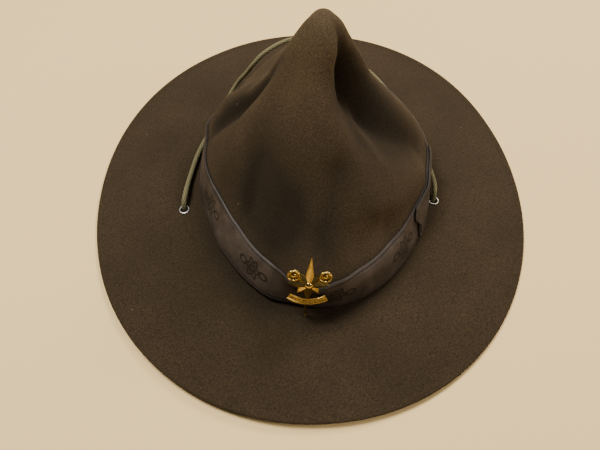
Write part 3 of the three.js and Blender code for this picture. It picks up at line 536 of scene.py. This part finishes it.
def make_felt_body(finish):
    """Crown and brim as one closed surface: down the inside of the wall, out under the brim, over its rounded
    edge, back over it and up the outside of the wall. Two round holes are cut for the eyelets."""
    direction = np.linspace(0, 360, 288, endpoint=False)[None, :]

    def column(values):
        return np.asarray(values, float)[:, None]

    # rows are closest at the peak
    inner_heights = 1 - column(np.linspace(0, 1, 50)[1:])**2
    outer_heights = 1 - (1 - column(np.linspace(0, 1, 160)[:-1]))**2
    under_shares = column(np.linspace(0, 1, 25)[:-1])
    top_shares = column(np.linspace(1, 0, 49)[1:])
    quarters = column([0.25, 0.5, 0.75])
    hollow_corner = ROOT_RADIUS + FELT_THICKNESS
    rounding = FELT_THICKNESS / 2
    width = np.linalg.norm(brim_edge(direction) - brim_root(direction), axis=-1)
    edge_start = 1 - rounding / width
    angle = column(np.linspace(-90, 90, 7))
    edge_share = edge_start + rounding / width * np.cos(np.radians(angle))
    rows = np.concatenate([
        wall(direction, inner_heights, -FELT_THICKNESS),
        root_corner(direction, hollow_corner, quarters),
        brim(direction, edge_start * under_shares),
        brim(direction, edge_share, rounding + rounding * np.sin(np.radians(angle))),
        brim(direction, edge_start * top_shares, FELT_THICKNESS),
        root_corner(direction, ROOT_RADIUS, quarters[::-1]),
        wall(direction, outer_heights),
    ])
    peak = np.append(CROWN_CENTRE + PEAK_SHIFT, FOOT_HEIGHT + CROWN_RISE)
    inner_peak = peak - [0, 0, FELT_THICKNESS]
    # painted shade of the dents and patches, and below nought their painted light
    pressed = np.clip(painted_shade_and_light(direction, outer_heights), PALEST_PAINTED_LIGHT, 1)
    rubbed_and_painted_light = np.clip((outer_heights - RUBBED_AND_PAINTED_LIGHT_START) / RUBBED_AND_PAINTED_LIGHT_GROWTH, 0, 1)
    # the felt's tone: 0 darkest painted shade and shadow, 0.5 even, 1 rubbed pale by hands with painted light
    wear_painted_light_and_shade = np.full(rows.shape[:2], 0.5)
    shares = np.vstack([top_shares, 0 * quarters])
    # shadow of the crown and band painted on the brim beside the band, darkest in one direction
    facing = np.clip(np.cos(np.radians(direction - PAINTED_SHADOW_DIRECTION)), 0, 1)**2
    painted_shadow = PAINTED_SHADOW_DEPTH * facing * np.exp(-(shares / PAINTED_SHADOW_SHARE)**2)
    wear_painted_light_and_shade[-len(shares) - len(outer_heights):-len(outer_heights)] -= painted_shadow
    wear_painted_light_and_shade[-len(outer_heights):] = np.clip(0.5 - 0.5 * pressed + 0.5 * rubbed_and_painted_light * (1 - np.abs(pressed)), 0, 1)
    body = make_piece("felt_crown_and_brim", [shell(rows, inner_peak, peak)], finish, ["felt_body"],
                      sharp=None, height=np.concatenate([wear_painted_light_and_shade.ravel(), [0.5, 1]]))
    cutters = []
    for side, (x, y) in EYELETS.items():
        radius = EYELET_HOLE_RADIUS + EYELET_METAL + GAP / 2
        tube = lathe([(radius, -2 * BRIM_RISE), (radius, 3 * BRIM_RISE)], 48)
        caps = shell(tube["vertices"].reshape(2, -1, 3), [0, 0, -2 * BRIM_RISE], [0, 0, 3 * BRIM_RISE])
        cutters.append(moved(caps, np.eye(3), [x, y, 0]))
    cutter_mesh = bpy.data.meshes.new("eyelet_punch")
    shift = len(cutters[0]["vertices"])
    faces = []
    for k, piece in enumerate(cutters):
        faces += (piece["quads"] + k * shift).tolist() + (piece["fans"] + k * shift).tolist()
    vertices = np.concatenate([piece["vertices"] for piece in cutters])
    cutter_mesh.from_pydata((vertices * MM).tolist(), [], faces)
    cutter = bpy.data.objects.new("eyelet_punch", cutter_mesh)
    scene.collection.objects.link(cutter)
    punch = body.modifiers.new("punch", "BOOLEAN")
    punch.operation = "DIFFERENCE"
    punch.object = cutter
    punch.solver = "FAST"
    graph = bpy.context.evaluated_depsgraph_get()
    punched = bpy.data.meshes.new_from_object(body.evaluated_get(graph))
    body.modifiers.clear()
    body.data = punched
    bpy.data.objects.remove(cutter)
    return body


def leather_profile(width_share, thickness):
    """Thickness across a strip: full in the middle, rounded off at both edges, with a creased line inside each."""
    edge = np.minimum(width_share, 1 - width_share) * BAND_WIDTH
    rounded = thickness * (1 - 0.5 * np.exp(-(edge / EDGE_ROUNDING)**2))
    crease = CREASE_DEPTH * np.exp(-((edge - BAND_CREASE) / CREASE_WIDTH)**2)
    return rounded - crease


# Rows across the leather, closest at the rounded edge and the crease
EDGE_SHARES = np.array([0, 0.2, 0.5, 0.9, 1.4, 1.9, 2.2, 2.5, 2.8, 3.2, 3.8, 4.6]) / BAND_WIDTH
MIDDLE_SHARES = np.linspace(EDGE_SHARES[-1], 1 - EDGE_SHARES[-1], 12)[1:-1]
STRIP_SHARES = np.concatenate([EDGE_SHARES, MIDDLE_SHARES, 1 - EDGE_SHARES[::-1]])


def make_hat_band(finish):
    """A closed strip of leather on the wall: up its outer face and down its inner one, with the length round the
    band and the height across it as surface coordinates."""
    direction = np.linspace(0, 360, 720, endpoint=False)[None, :]
    shares = STRIP_SHARES[:, None]
    height = height_along(direction + 0 * shares, GAP + shares * BAND_WIDTH)
    outer = wall(direction, height, GAP + leather_profile(shares, BAND_THICKNESS) + 0 * height)
    inner = wall(direction, height, GAP + 0 * height)
    middle = outer[len(shares) // 2]
    round_length = np.append(0, np.cumsum(np.linalg.norm(np.roll(middle, -1, 0) - middle, axis=-1))) * MM
    across = np.append(STRIP_SHARES, STRIP_SHARES[::-1]) * BAND_WIDTH * MM
    across = np.append(across, across[0])
    patch = np.stack(np.broadcast_arrays(round_length[None, :], across[:, None]), -1)
    strip = shell(np.concatenate([outer, inner[::-1]]), ring_rows=True, patch=patch)
    return make_piece("leather_band", [strip], finish, ["hat_band"])


def make_band_tongue(finish):
    """The band's outer end over the band: its stations run round the wall, the first one shifted by a sine wave
    across the width, and both ends are closed by a fan."""
    stations = np.concatenate([TONGUE_START + np.array([0, 0.15, 0.35, 0.7, 1.2]),
                               np.arange(TONGUE_START + 2, TONGUE_END - 1, 0.5),
                               TONGUE_END - np.array([1, 0.5, 0.2, 0])])
    from_start = (stations - TONGUE_START)[:, None]
    loop = np.concatenate([STRIP_SHARES, STRIP_SHARES[::-1]])[None, :]
    outer_face = (np.arange(loop.size) < STRIP_SHARES.size)[None, :]
    wave = TONGUE_WAVE * np.sin(2 * np.pi * loop) * np.exp(-from_start / 6)
    direction = stations[:, None] + wave
    height = height_along(direction, GAP + loop * BAND_WIDTH + 0 * direction)
    end = np.minimum(from_start, (TONGUE_END - stations)[:, None])
    rounded = 1 - 0.45 * np.exp(-(end / 0.25)**2)
    thickness = leather_profile(loop, TONGUE_THICKNESS) * rounded
    under = 2 * GAP + BAND_THICKNESS
    points = wall(direction, height, under + np.where(outer_face, thickness, 0))
    length = np.radians(stations - TONGUE_START)[:, None] * CROWN_HALF_WIDTH * MM
    across = np.append(loop[0], loop[0, 0])[None, :] * BAND_WIDTH * MM
    patch = np.stack(np.broadcast_arrays(length, across), -1)
    strip = shell(points, points[0].mean(0), points[-1].mean(0), patch=patch)
    return make_piece("band_tongue_leather", [turned_inside_out(strip)], finish, ["band_tongue"])


def make_eyelet(side, finish):
    """A rolled ring turned about the brim's normal: a rounded flange above and below, joined by the tube."""
    x, y = EYELETS[side]
    direction = np.degrees(np.arctan2(y, x))
    root, edge = brim_root(direction), brim_edge(direction)
    share = (np.array([x, y]) - root) @ (edge - root) / np.sum((edge - root)**2)
    seat, inner = brim(direction, share), brim(direction, 0.0)
    slope = 2 * (inner[2] - seat[2]) / np.hypot(*(seat - inner)[:2])
    outward = unit(edge - root)
    up = unit(np.append(outward * slope, 1))
    sideways = unit(np.cross(up, [1, 0, 0]))
    matrix = np.stack([np.cross(sideways, up), sideways, up], -1)
    middle = (EYELET_HOLE_RADIUS + EYELET_FLANGE_RADIUS) / 2
    half = (EYELET_FLANGE_RADIUS - EYELET_HOLE_RADIUS) / 2
    bend = np.radians(np.linspace(180, 0, 13))
    top = np.stack([middle + half * np.cos(bend), FELT_THICKNESS + GAP / 2 + EYELET_ROLL * np.sin(bend)], -1)
    tube = EYELET_HOLE_RADIUS + EYELET_METAL
    waist = np.array([[tube, FELT_THICKNESS + GAP / 2], [tube, -GAP / 2]])
    bottom = np.stack([middle - half * np.cos(bend), -GAP / 2 - EYELET_ROLL * np.sin(bend)], -1)
    ring = moved(turned_inside_out(lathe(np.concatenate([top, waist, bottom]), 64)), matrix, seat)
    return make_piece("nickel_eyelet_" + side, [ring], finish, ["eyelet_" + side])


def dome(x, y, z, size, flat):
    """A ball flattened along z: r = size cos, z = flat size sin."""
    climb_angle = np.radians(np.linspace(-75, 75, 11))[:, None]
    spin = np.linspace(0, 2 * np.pi, 24, endpoint=False)[None, :]
    reach = size * np.cos(climb_angle)
    points = np.stack([x + reach * np.cos(spin), y + reach * np.sin(spin),
                       z + flat * size * np.sin(climb_angle) + 0 * spin], -1)
    return shell(points, [x, y, z - flat * size], [x, y, z + flat * size])


def rope_ring(x, y, outer, bar, strands):
    """A ring whose section swells and sinks with the strands of a rope, over a thin disc that fills it."""
    around = np.linspace(0, 2 * np.pi, 6 * strands, endpoint=False)[None, :]
    bend = np.linspace(0, 2 * np.pi, 18, endpoint=False)[:, None]
    rope = 1 + ROPE_SWELL * np.sin(strands * around + 2 * bend)
    radius = outer - bar / 2 - bar / 2 * np.cos(bend) * rope
    level = 0.9
    height = np.maximum(0, level + (BADGE_RING_CREST - level) * np.sin(bend) * rope)
    ring = np.stack([x + radius * np.cos(around), y + radius * np.sin(around), height + 0 * around], -1)
    rim = outer - bar / 2 + 0 * around
    disc = np.stack([np.vstack([x + rim * np.cos(around)] * 2), np.vstack([y + rim * np.sin(around)] * 2),
                     np.array([[0.05], [BADGE_DISC]]) + 0 * around], -1)
    return [shell(ring, ring_rows=True), shell(disc, [x, y, 0.05], [x, y, BADGE_DISC])]


def badge_star():
    """Eight-pointed star: a low wall round its outline, and facets that rise from it to one crest."""
    reach = [BADGE_TOP_POINT, BADGE_UPPER_POINT, BADGE_SIDE_POINT, BADGE_LOWER_POINT,
             BADGE_SCROLL_DROP - BADGE_SCROLL_BAR / 2, BADGE_LOWER_POINT, BADGE_SIDE_POINT, BADGE_UPPER_POINT]
    radius = np.stack([reach, np.full(8, BADGE_STAR_WAIST)], -1).ravel()
    angle = np.pi / 2 + np.arange(16) * np.pi / 8
    outline = np.stack([radius * np.cos(angle), radius * np.sin(angle)], -1)
    sides = np.stack([np.column_stack([outline, np.full(16, level)]) for level in (0, BADGE_STAR_EDGE)])
    return shell(sides, [0, 0, 0], [0, 0, BADGE_PLATE + BADGE_STAR_RELIEF])


def badge_scroll():
    """A bar bent to an arc, with a raised bead along both of its edges and round studs in its middle."""
    half_arc = BADGE_SCROLL_LENGTH / 2 / BADGE_SCROLL_RADIUS
    arc = np.linspace(-1, 1, 49)[:, None] * half_arc - np.pi / 2
    across = np.array([0, 0.06, 0.16, 0.24, 0.32, 0.68, 0.76, 0.84, 0.94, 1, 1, 0])[None, :]
    raised = np.array([0.9, 1.35, 1.4, 1.3, 0.95, 0.95, 1.3, 1.4, 1.35, 0.9, 0, 0])[None, :]
    bar_radius = BADGE_SCROLL_RADIUS - across * BADGE_SCROLL_BAR
    centre_y = BADGE_SCROLL_RADIUS - BADGE_SCROLL_DROP
    bar = np.stack([bar_radius * np.cos(arc), centre_y + bar_radius * np.sin(arc), raised + 0 * arc], -1)
    stud_radius = BADGE_SCROLL_RADIUS - BADGE_SCROLL_BAR / 2
    studs = np.linspace(-0.8, 0.8, SCROLL_STUDS) * half_arc - np.pi / 2
    return [turned_inside_out(shell(bar, bar[0].mean(0), bar[-1].mean(0)))] + [
        dome(stud_radius * np.cos(stud), centre_y + stud_radius * np.sin(stud), 0.95, SCROLL_STUD_RADIUS, 0.8)
        for stud in studs]


def make_badge(finish):
    """Star, two rope-edged roundels and scroll in the badge's own plane, x right, y up and z outwards, then leant
    back against the band, and the pin upright in front of the band."""
    across, above = BADGE_ROUNDEL_PLACE
    shells = [badge_star(), *badge_scroll()]
    for x in (-across, across):
        shells += rope_ring(x, above, BADGE_ROUNDEL_RADIUS, BADGE_ROUNDEL_BAR, ROPE_STRANDS)
        shells.append(dome(x, above, BADGE_DISC, BADGE_ROUNDEL_BEAD, 0.7))
    shells.append(dome(0, 0, BADGE_PLATE + BADGE_STAR_RELIEF / 2, BADGE_HEART_RADIUS, 0.6))

    direction = np.degrees(np.arctan2(-CROWN_HALF_LENGTH, BADGE_X - CROWN_CENTRE[0]))
    distances = np.array([GAP, GAP + BAND_WIDTH])
    directions = np.full(2, direction)
    foot_face, top_face = wall(directions, height_along(directions, distances), np.full(2, GAP + BAND_THICKNESS))
    tilt, lean = np.radians([BADGE_TILT, -BADGE_LEAN])
    back = top_face[1] - BADGE_STAND_OFF + (BADGE_HEIGHT - top_face[2]) * np.tan(tilt)
    about_x = np.pi / 2 - tilt
    leant = np.array([[np.cos(lean), -np.sin(lean), 0], [np.sin(lean), np.cos(lean), 0], [0, 0, 1]])
    stood = np.array([[1, 0, 0], [0, np.cos(about_x), -np.sin(about_x)], [0, np.sin(about_x), np.cos(about_x)]])
    own_height = np.concatenate([piece["vertices"][:, 2] for piece in shells]) / (BADGE_PLATE + BADGE_STAR_RELIEF)
    shells = [moved(piece, stood @ leant, [BADGE_X, back, BADGE_HEIGHT]) for piece in shells]

    scroll_drop = BADGE_SCROLL_DROP - BADGE_SCROLL_BAR / 2
    pin_foot = FOOT_HEIGHT - ROOT_RADIUS + PIN_BEAD_RADIUS + 2 * GAP
    pin_top = BADGE_HEIGHT - scroll_drop * np.cos(tilt)
    pin_x = BADGE_X + PIN_SHIFT
    pin_y = min(min(top_face[1], foot_face[1]) - GAP - PIN_RADIUS, back - scroll_drop * np.sin(tilt))
    pin_angle = np.linspace(0, 2 * np.pi, 24, endpoint=False)[None, :]
    pin_height = np.array([pin_foot, pin_top])[:, None]
    pin = np.stack(np.broadcast_arrays(pin_x + PIN_RADIUS * np.cos(pin_angle),
                                       pin_y + PIN_RADIUS * np.sin(pin_angle), pin_height), -1)
    shells.append(shell(pin, [pin_x, pin_y, pin_foot], [pin_x, pin_y, pin_top]))
    shells.append(dome(pin_x, pin_y, pin_foot, PIN_BEAD_RADIUS, 1))
    relief = np.append(own_height, np.ones(sum(len(piece["vertices"]) for piece in shells[-2:])))
    return make_piece("brass_badge", shells, finish, ["badge"], sharp=25, height=relief)


def smooth_route(route, steps):
    """Centripetal Catmull-Rom curve: Hermite pieces whose slopes weigh neighbours by the root of their distance."""
    ends = np.vstack([2 * route[0] - route[1], route, 2 * route[-1] - route[-2]])
    p0, p1, p2, p3 = (ends[k:len(ends) - 3 + k, None, :] for k in range(4))
    d0, d1, d2 = (np.sqrt(np.linalg.norm(b - a, axis=-1, keepdims=True)) for a, b in ((p0, p1), (p1, p2), (p2, p3)))
    leave = ((p1 - p0) / d0 - (p2 - p0) / (d0 + d1) + (p2 - p1) / d1) * d1
    arrive = ((p2 - p1) / d1 - (p3 - p1) / (d1 + d2) + (p3 - p2) / d2) * d1
    u = np.linspace(0, 1, steps, endpoint=False)[None, :, None]
    curve = ((2 * u**3 - 3 * u**2 + 1) * p1 + (u**3 - 2 * u**2 + u) * leave
             + (3 * u**2 - 2 * u**3) * p2 + (u**3 - u**2) * arrive)
    return np.vstack([curve.reshape(-1, 3), route[-1:]])


def evenly(path, spacing):
    """The same path with its points evenly spaced by length."""
    length = np.append(0, np.cumsum(np.linalg.norm(np.diff(path, axis=0), axis=-1)))
    places = np.linspace(0, length[-1], int(round(length[-1] / spacing)) + 1)
    return np.stack([np.interp(places, length, path[:, k]) for k in range(3)], -1), places


def braided_tube(path, places, radius, sides):
    """A round braid along a path: its radius rises where a strand of either direction crosses, as the product of
    two cosines of angle and length. The axes across the path are turned back by the sum of their own turns."""
    forward = unit(np.gradient(path, axis=0))
    side = unit(np.cross(forward, [0.31, 0.22, 0.925]))
    over = np.cross(forward, side)
    sine, cosine = (side[1:] * over[:-1]).sum(-1), (side[1:] * side[:-1]).sum(-1)
    twist = np.append(0, np.cumsum(np.arctan2(sine, cosine)))[:, None]
    side, over = np.cos(twist) * side - np.sin(twist) * over, np.sin(twist) * side + np.cos(twist) * over
    angle = np.linspace(0, 2 * np.pi, sides, endpoint=False)[None, :]
    along = 2 * np.pi * places[:, None] / BRAID_PITCH
    strands = np.cos(BRAID_STRANDS * angle) * np.cos(along) * 0.5 + 0.5
    swell = radius * (1 - BRAID_SWELL + BRAID_SWELL * strands)[..., None]
    points = path[:, None, :] + swell * (np.cos(angle)[..., None] * side[:, None, :]
                                         + np.sin(angle)[..., None] * over[:, None, :])
    round_share = np.linspace(0, 1, sides + 1)[None, :]
    patch = np.stack(np.broadcast_arrays(places[:, None] * MM, round_share), -1)
    return shell(points, path[0], path[-1], patch=patch)


def make_chin_cord(finish):
    path, places = evenly(smooth_route(CORD_ROUTE, 40), 0.65)
    tube = braided_tube(path, places, CORD_DIAMETER / 2, 20)
    return make_piece("braided_chin_cord", [tube], finish, ["chin_cord"], sharp=None), path


def make_cord_knot(finish):
    """Two wraps of the cord round its joined ends: a barrel whose radius swells twice along the line between them."""
    ends = CORD_ROUTE[[-1, 0]]
    line = unit(ends[1] - ends[0])
    middle = ends.mean(0)
    spread = np.linspace(-0.5, 0.5, 41)
    path = middle + spread[:, None] * KNOT_LENGTH * line
    tube = braided_tube(path, (spread + 0.5) * KNOT_LENGTH, KNOT_RADIUS, 28)
    wraps = KNOT_RADIUS * (0.72 + 0.28 * np.abs(np.sin(2 * np.pi * spread)))
    wraps *= np.clip((0.5 - np.abs(spread)) / 0.06, 0, 1)**0.5 * 0.5 + 0.5
    rings = tube["vertices"][:-2].reshape(len(path), -1, 3)
    rings = path[:, None, :] + (rings - path[:, None, :]) * (wraps / KNOT_RADIUS)[:, None, None]
    tube["vertices"] = np.vstack([rings.reshape(-1, 3), tube["vertices"][-2:]])
    return make_piece("cord_knot_wraps", [tube], finish, ["cord_knot"], sharp=None)


# Finishes

def linear(code):
    """sRGB hex value as linear red, green, blue and alpha: below 0.04 a straight line, above it a power of 2.4."""
    share = np.array([int(code[k:k + 2], 16) for k in (1, 3, 5)]) / 255
    return (*np.where(share <= 0.04045, share / 12.92, ((share + 0.055) / 1.055)**2.4).tolist(), 1.0)


def add_node(tree, kind, sockets=None, **settings):
    """Adds a node, gives it its own settings, and fills its input sockets with values or links."""
    node = tree.nodes.new(kind)
    for name, value in settings.items():
        setattr(node, name, value)
    for key, value in (sockets or {}).items():
        if isinstance(value, bpy.types.NodeSocket):
            tree.links.new(value, node.inputs[key])
        else:
            node.inputs[key].default_value = value
    return node


def maths(tree, operation, *values):
    """One sum of the values, as a Math node."""
    return add_node(tree, "ShaderNodeMath", dict(enumerate(values)), operation=operation).outputs[0]


def spread(tree, value, low=0.0, high=1.0, at_low=0.0, at_high=1.0):
    """A straight line from at_low, where the value is low, to at_high, where it is high, and flat past both."""
    sockets = {"Value": value, "From Min": low, "From Max": high, "To Min": at_low, "To Max": at_high}
    return add_node(tree, "ShaderNodeMapRange", sockets).outputs[0]


def blend(tree, share, first, second):
    """The first colour at share 0 and the second at share 1, each a hex value or a link."""
    first, second = (linear(colour) if isinstance(colour, str) else colour for colour in (first, second))
    return add_node(tree, "ShaderNodeMix", {0: share, 6: first, 7: second}, data_type="RGBA").outputs[2]


def noise(tree, place, width, detail, roughness=0.5):
    """Noise whose blotches are about this many millimetres wide."""
    sockets = {"Vector": place, "Scale": 1 / (width * MM), "Detail": detail, "Roughness": roughness}
    return add_node(tree, "ShaderNodeTexNoise", sockets).outputs[0]


def new_finish(name, **sockets):
    """A material with its shader's own sockets set, and the place on the object for its patterns."""
    finish = bpy.data.materials.new(name)
    finish.use_nodes = True
    tree = finish.node_tree
    shader = tree.nodes["Principled BSDF"]
    for key, value in sockets.items():
        shader.inputs[key.replace("_", " ")].default_value = value
    return finish, tree, shader, add_node(tree, "ShaderNodeTexCoord").outputs["Object"]


def dress(tree, shader, colour, height, strength, depth):
    """Gives the shader a colour and a bump, whose depth is in millimetres."""
    bump = add_node(tree, "ShaderNodeBump", {"Height": height, "Strength": strength, "Distance": depth * MM})
    tree.links.new(colour, shader.inputs["Base Color"])
    tree.links.new(bump.outputs[0], shader.inputs["Normal"])


def brown_wool_felt():
    # Wool felt, blocked and brushed: a dense matte nap of mixed brown fibres, rubbed paler by hands towards the peak.
    # Light is painted there and on the ridges, shade in the dents and on the steep faces, and a shadow beside the
    # band
    finish, tree, shader, place = new_finish(
        "brown_wool_felt", Roughness=0.95, IOR=1.45, Specular_IOR_Level=0.25,
        Sheen_Weight=0.15, Sheen_Roughness=0.55, Sheen_Tint=linear("#ac9578"))
    patches = noise(tree, place, 45, 3)
    clumps = noise(tree, place, 1.2, 3, 0.65)
    fibres = noise(tree, place, 0.7, 2, 0.7)
    ground = blend(tree, spread(tree, patches, 0.35, 0.7), "#392e1e", "#433726")
    napped = blend(tree, spread(tree, clumps, 0.3, 0.72), "#231c12", ground)
    fibred = blend(tree, spread(tree, fibres, 0.6, 0.8, 0, 0.42), napped, "#726047")
    # the relief attribute carries the tone, from darkest painted shade at 0 over even at 0.5 to palest, rubbed and
    # painted light, at 1
    wear_painted_light_and_shade = add_node(tree, "ShaderNodeAttribute", attribute_name="relief").outputs["Fac"]
    tone = maths(tree, "MULTIPLY", spread(tree, wear_painted_light_and_shade, 0, 0.5, 0.42, 1), spread(tree, wear_painted_light_and_shade, 0.5, 1, 1, 1.9))
    toned = add_node(tree, "ShaderNodeVectorMath", {0: fibred, "Scale": tone}, operation="SCALE").outputs[0]
    # lint: pale specks under 0.5 mm, one in several cells 12 mm wide
    cells = add_node(tree, "ShaderNodeTexVoronoi", {"Vector": place, "Scale": 1 / (12 * MM), "Randomness": 1.0})
    near = spread(tree, cells.outputs["Distance"], 0.025, 0.045, 1, 0)
    split = add_node(tree, "ShaderNodeSeparateColor", {0: cells.outputs["Color"]})
    chosen = maths(tree, "GREATER_THAN", split.outputs[0], 0.7)
    linted = blend(tree, maths(tree, "MULTIPLY", near, chosen), toned, "#736655")
    dress(tree, shader, linted, maths(tree, "MULTIPLY_ADD", clumps, 0.6, fibres), 0.6, 0.6)
    return finish


def stamp_marks(tree, along, y):
    """1 on the pressed lines of the stamps: a rosette, whose radius waves as the cosine of six times the angle, and
    its eye, between two ring-shaped leaves."""
    shifted = maths(tree, "ADD", along, STAMP_SHIFT * MM)
    x = maths(tree, "SUBTRACT", maths(tree, "MODULO", shifted, STAMP_SPACING * MM), STAMP_SPACING / 2 * MM)

    def length(first, second):
        spot = add_node(tree, "ShaderNodeCombineXYZ", {0: first, 1: second}).outputs[0]
        return add_node(tree, "ShaderNodeVectorMath", {0: spot}, operation="LENGTH").outputs["Value"]

    distance = length(x, y)
    petals = maths(tree, "MULTIPLY", maths(tree, "ARCTAN2", y, x), ROSETTE_PETALS)
    reach = maths(tree, "MULTIPLY_ADD", maths(tree, "COSINE", petals), ROSETTE_WAVE * MM, ROSETTE_RADIUS * MM)
    outline = maths(tree, "COMPARE", distance, reach, STAMP_LINE * MM)
    eye = maths(tree, "COMPARE", distance, maths(tree, "MULTIPLY", reach, 0.45), 0.7 * MM)
    leaf_x = maths(tree, "SUBTRACT", maths(tree, "ABSOLUTE", x), LEAF_PLACE * MM)
    leaf_distance = length(leaf_x, maths(tree, "MULTIPLY", y, 1.5))
    leaf = maths(tree, "COMPARE", leaf_distance, LEAF_RADIUS * MM, STAMP_LINE * MM)
    return maths(tree, "MAXIMUM", maths(tree, "MAXIMUM", outline, eye), leaf)


def stamped_leather(name, plain, dark, stamped):
    # Vegetable-tanned strap leather, waxed: a satin face with fine pores, rubbed paler, darkened where it is pressed
    finish, tree, shader, place = new_finish(name, Roughness=0.52, IOR=1.5, Specular_IOR_Level=0.4)
    patch = add_node(tree, "ShaderNodeUVMap", uv_map="patch").outputs[0]
    along, across = add_node(tree, "ShaderNodeSeparateXYZ", {0: patch}).outputs[:2]
    pores = add_node(tree, "ShaderNodeTexVoronoi", {"Vector": place, "Scale": 1 / (0.8 * MM)}).outputs["Distance"]
    ground = blend(tree, spread(tree, noise(tree, place, 14, 4, 0.6), 0.3, 0.72), dark, plain)
    # the creased line catches dirt, and the burnished edge is dark over its last 1.5 mm
    y = maths(tree, "SUBTRACT", across, BAND_WIDTH / 2 * MM)
    from_middle = maths(tree, "ABSOLUTE", y)
    crease = maths(tree, "COMPARE", from_middle, (BAND_WIDTH / 2 - BAND_CREASE) * MM, 0.6 * MM)
    burnished = spread(tree, from_middle, (BAND_WIDTH / 2 - 1.5) * MM, (BAND_WIDTH / 2 - 0.7) * MM)
    dirt = maths(tree, "MULTIPLY", maths(tree, "MAXIMUM", crease, burnished), 0.75)
    colour = blend(tree, dirt, ground, "#19130d")
    sunk = pores
    if stamped:
        marks = stamp_marks(tree, along, y)
        colour = blend(tree, maths(tree, "MULTIPLY", marks, 0.9), colour, "#0f0a07")
        sunk = maths(tree, "MULTIPLY_ADD", marks, -1.5, pores)
    dress(tree, shader, colour, sunk, 0.35, 0.2)
    return finish


def nickel_plate():
    # Nickel plate on stamped steel, polished and handled: bright, with fine rubs that soften its shine
    finish, tree, shader, place = new_finish("nickel_plate", Metallic=1.0, Roughness=0.3)
    rubs = noise(tree, place, 1.6, 3)
    tree.links.new(blend(tree, rubs, "#7c7d7b", "#bcbcb8"), shader.inputs["Base Color"])
    tree.links.new(spread(tree, rubs, 0, 1, 0.18, 0.45), shader.inputs["Roughness"])
    return finish


def stamped_brass():
    # Brass, die-struck and polished: bright yellow on the raised edges, browned with tarnish in the hollows
    finish, tree, shader, place = new_finish("stamped_brass", Metallic=1.0, Roughness=0.25)
    relief = add_node(tree, "ShaderNodeAttribute", attribute_name="relief").outputs["Fac"]
    tarnish = noise(tree, place, 2.2, 4)
    uneven = maths(tree, "MULTIPLY_ADD", tarnish, 0.5, relief)
    colour = blend(tree, spread(tree, uneven, 0.3, 0.75), "#574626", "#c2a45a")
    tree.links.new(spread(tree, uneven, 0.3, 0.8, 0.45, 0.18), shader.inputs["Roughness"])
    dress(tree, shader, colour, tarnish, 0.2, 0.1)
    return finish


def olive_braid():
    # Cotton braid, dyed olive: matte strands that cross, with shade painted dark where they dive under one another
    finish, tree, shader, place = new_finish(
        "olive_cotton_braid", Roughness=0.88, IOR=1.5, Specular_IOR_Level=0.2, Sheen_Weight=0.2, Sheen_Roughness=0.5)
    patch = add_node(tree, "ShaderNodeUVMap", uv_map="patch").outputs[0]
    along, around = add_node(tree, "ShaderNodeSeparateXYZ", {0: patch}).outputs[:2]
    wave_along = maths(tree, "COSINE", maths(tree, "MULTIPLY", along, 2 * np.pi / (BRAID_PITCH * MM)))
    wave_around = maths(tree, "COSINE", maths(tree, "MULTIPLY", around, 2 * np.pi * BRAID_STRANDS))
    crossing = maths(tree, "MULTIPLY", wave_along, wave_around)
    mixed = maths(tree, "MULTIPLY_ADD", noise(tree, place, 0.7, 3), 0.9, crossing)
    # painted shade: darker where the strands dive under one another, from the same crossings as the bump
    colour = blend(tree, spread(tree, mixed, -0.4, 1.1), "#4f4a35", "#817c58")
    dress(tree, shader, colour, mixed, 0.5, 0.3)
    return finish


# Floor and light

def make_floor():
    """A flat square just under the surface on which the hat rests."""
    finish = new_finish("pale_floor", Roughness=0.7, Base_Color=linear("#f6d798"))[0]
    mesh = bpy.data.meshes.new("studio_floor")
    half = 3.0
    corners = [(-half, -half, 0), (half, -half, 0), (half, half, 0), (-half, half, 0)]
    mesh.from_pydata(corners, [], [(0, 1, 2, 3)])
    mesh.materials.append(finish)
    floor = bpy.data.objects.new("studio_floor", mesh)
    scene.collection.objects.link(floor)


def soft_light(name, place, aim, size, power, colour):
    """A square area light that looks from its place at its aim."""
    data = bpy.data.lights.new(name, "AREA")
    data.shape = "SQUARE"
    data.size = size
    data.energy = power
    data.color = linear(colour)[:3]
    light = bpy.data.objects.new(name, data)
    light.location = place
    light.rotation_euler = (Vector(aim) - Vector(place)).to_track_quat("-Z", "Y").to_euler()
    scene.collection.objects.link(light)


def light_studio():
    world = bpy.data.worlds.new("studio_air")
    scene.world = world
    world.use_nodes = True
    air = world.node_tree.nodes["Background"]
    air.inputs["Color"].default_value = linear("#e9ecef")
    air.inputs["Strength"].default_value = 0.11
    crown_middle = (0, 0, 0.05)
    soft_light("high_left_light", (-0.52, 0.28, 1.36), crown_middle, 0.6, 28, "#fff8ed")
    soft_light("rear_right_light", (0.82, 0.82, 0.96), crown_middle, 0.5, 16, "#fff1e1")
    soft_light("right_light", (1.04, -0.48, 0.96), crown_middle, 0.5, 8.5, "#fff1e1")


place_camera()
braid = olive_braid()
cord, cord_path = make_chin_cord(braid)
knot = make_cord_knot(braid)

make_felt_body(brown_wool_felt())
make_hat_band(stamped_leather("stamped_band_leather", "#4f443d", "#28211d", True))
make_band_tongue(stamped_leather("tongue_leather", "#4d433b", "#2c251f", False))
nickel = nickel_plate()
for side in EYELETS:
    make_eyelet(side, nickel)
make_badge(stamped_brass())
make_floor()
light_studio()
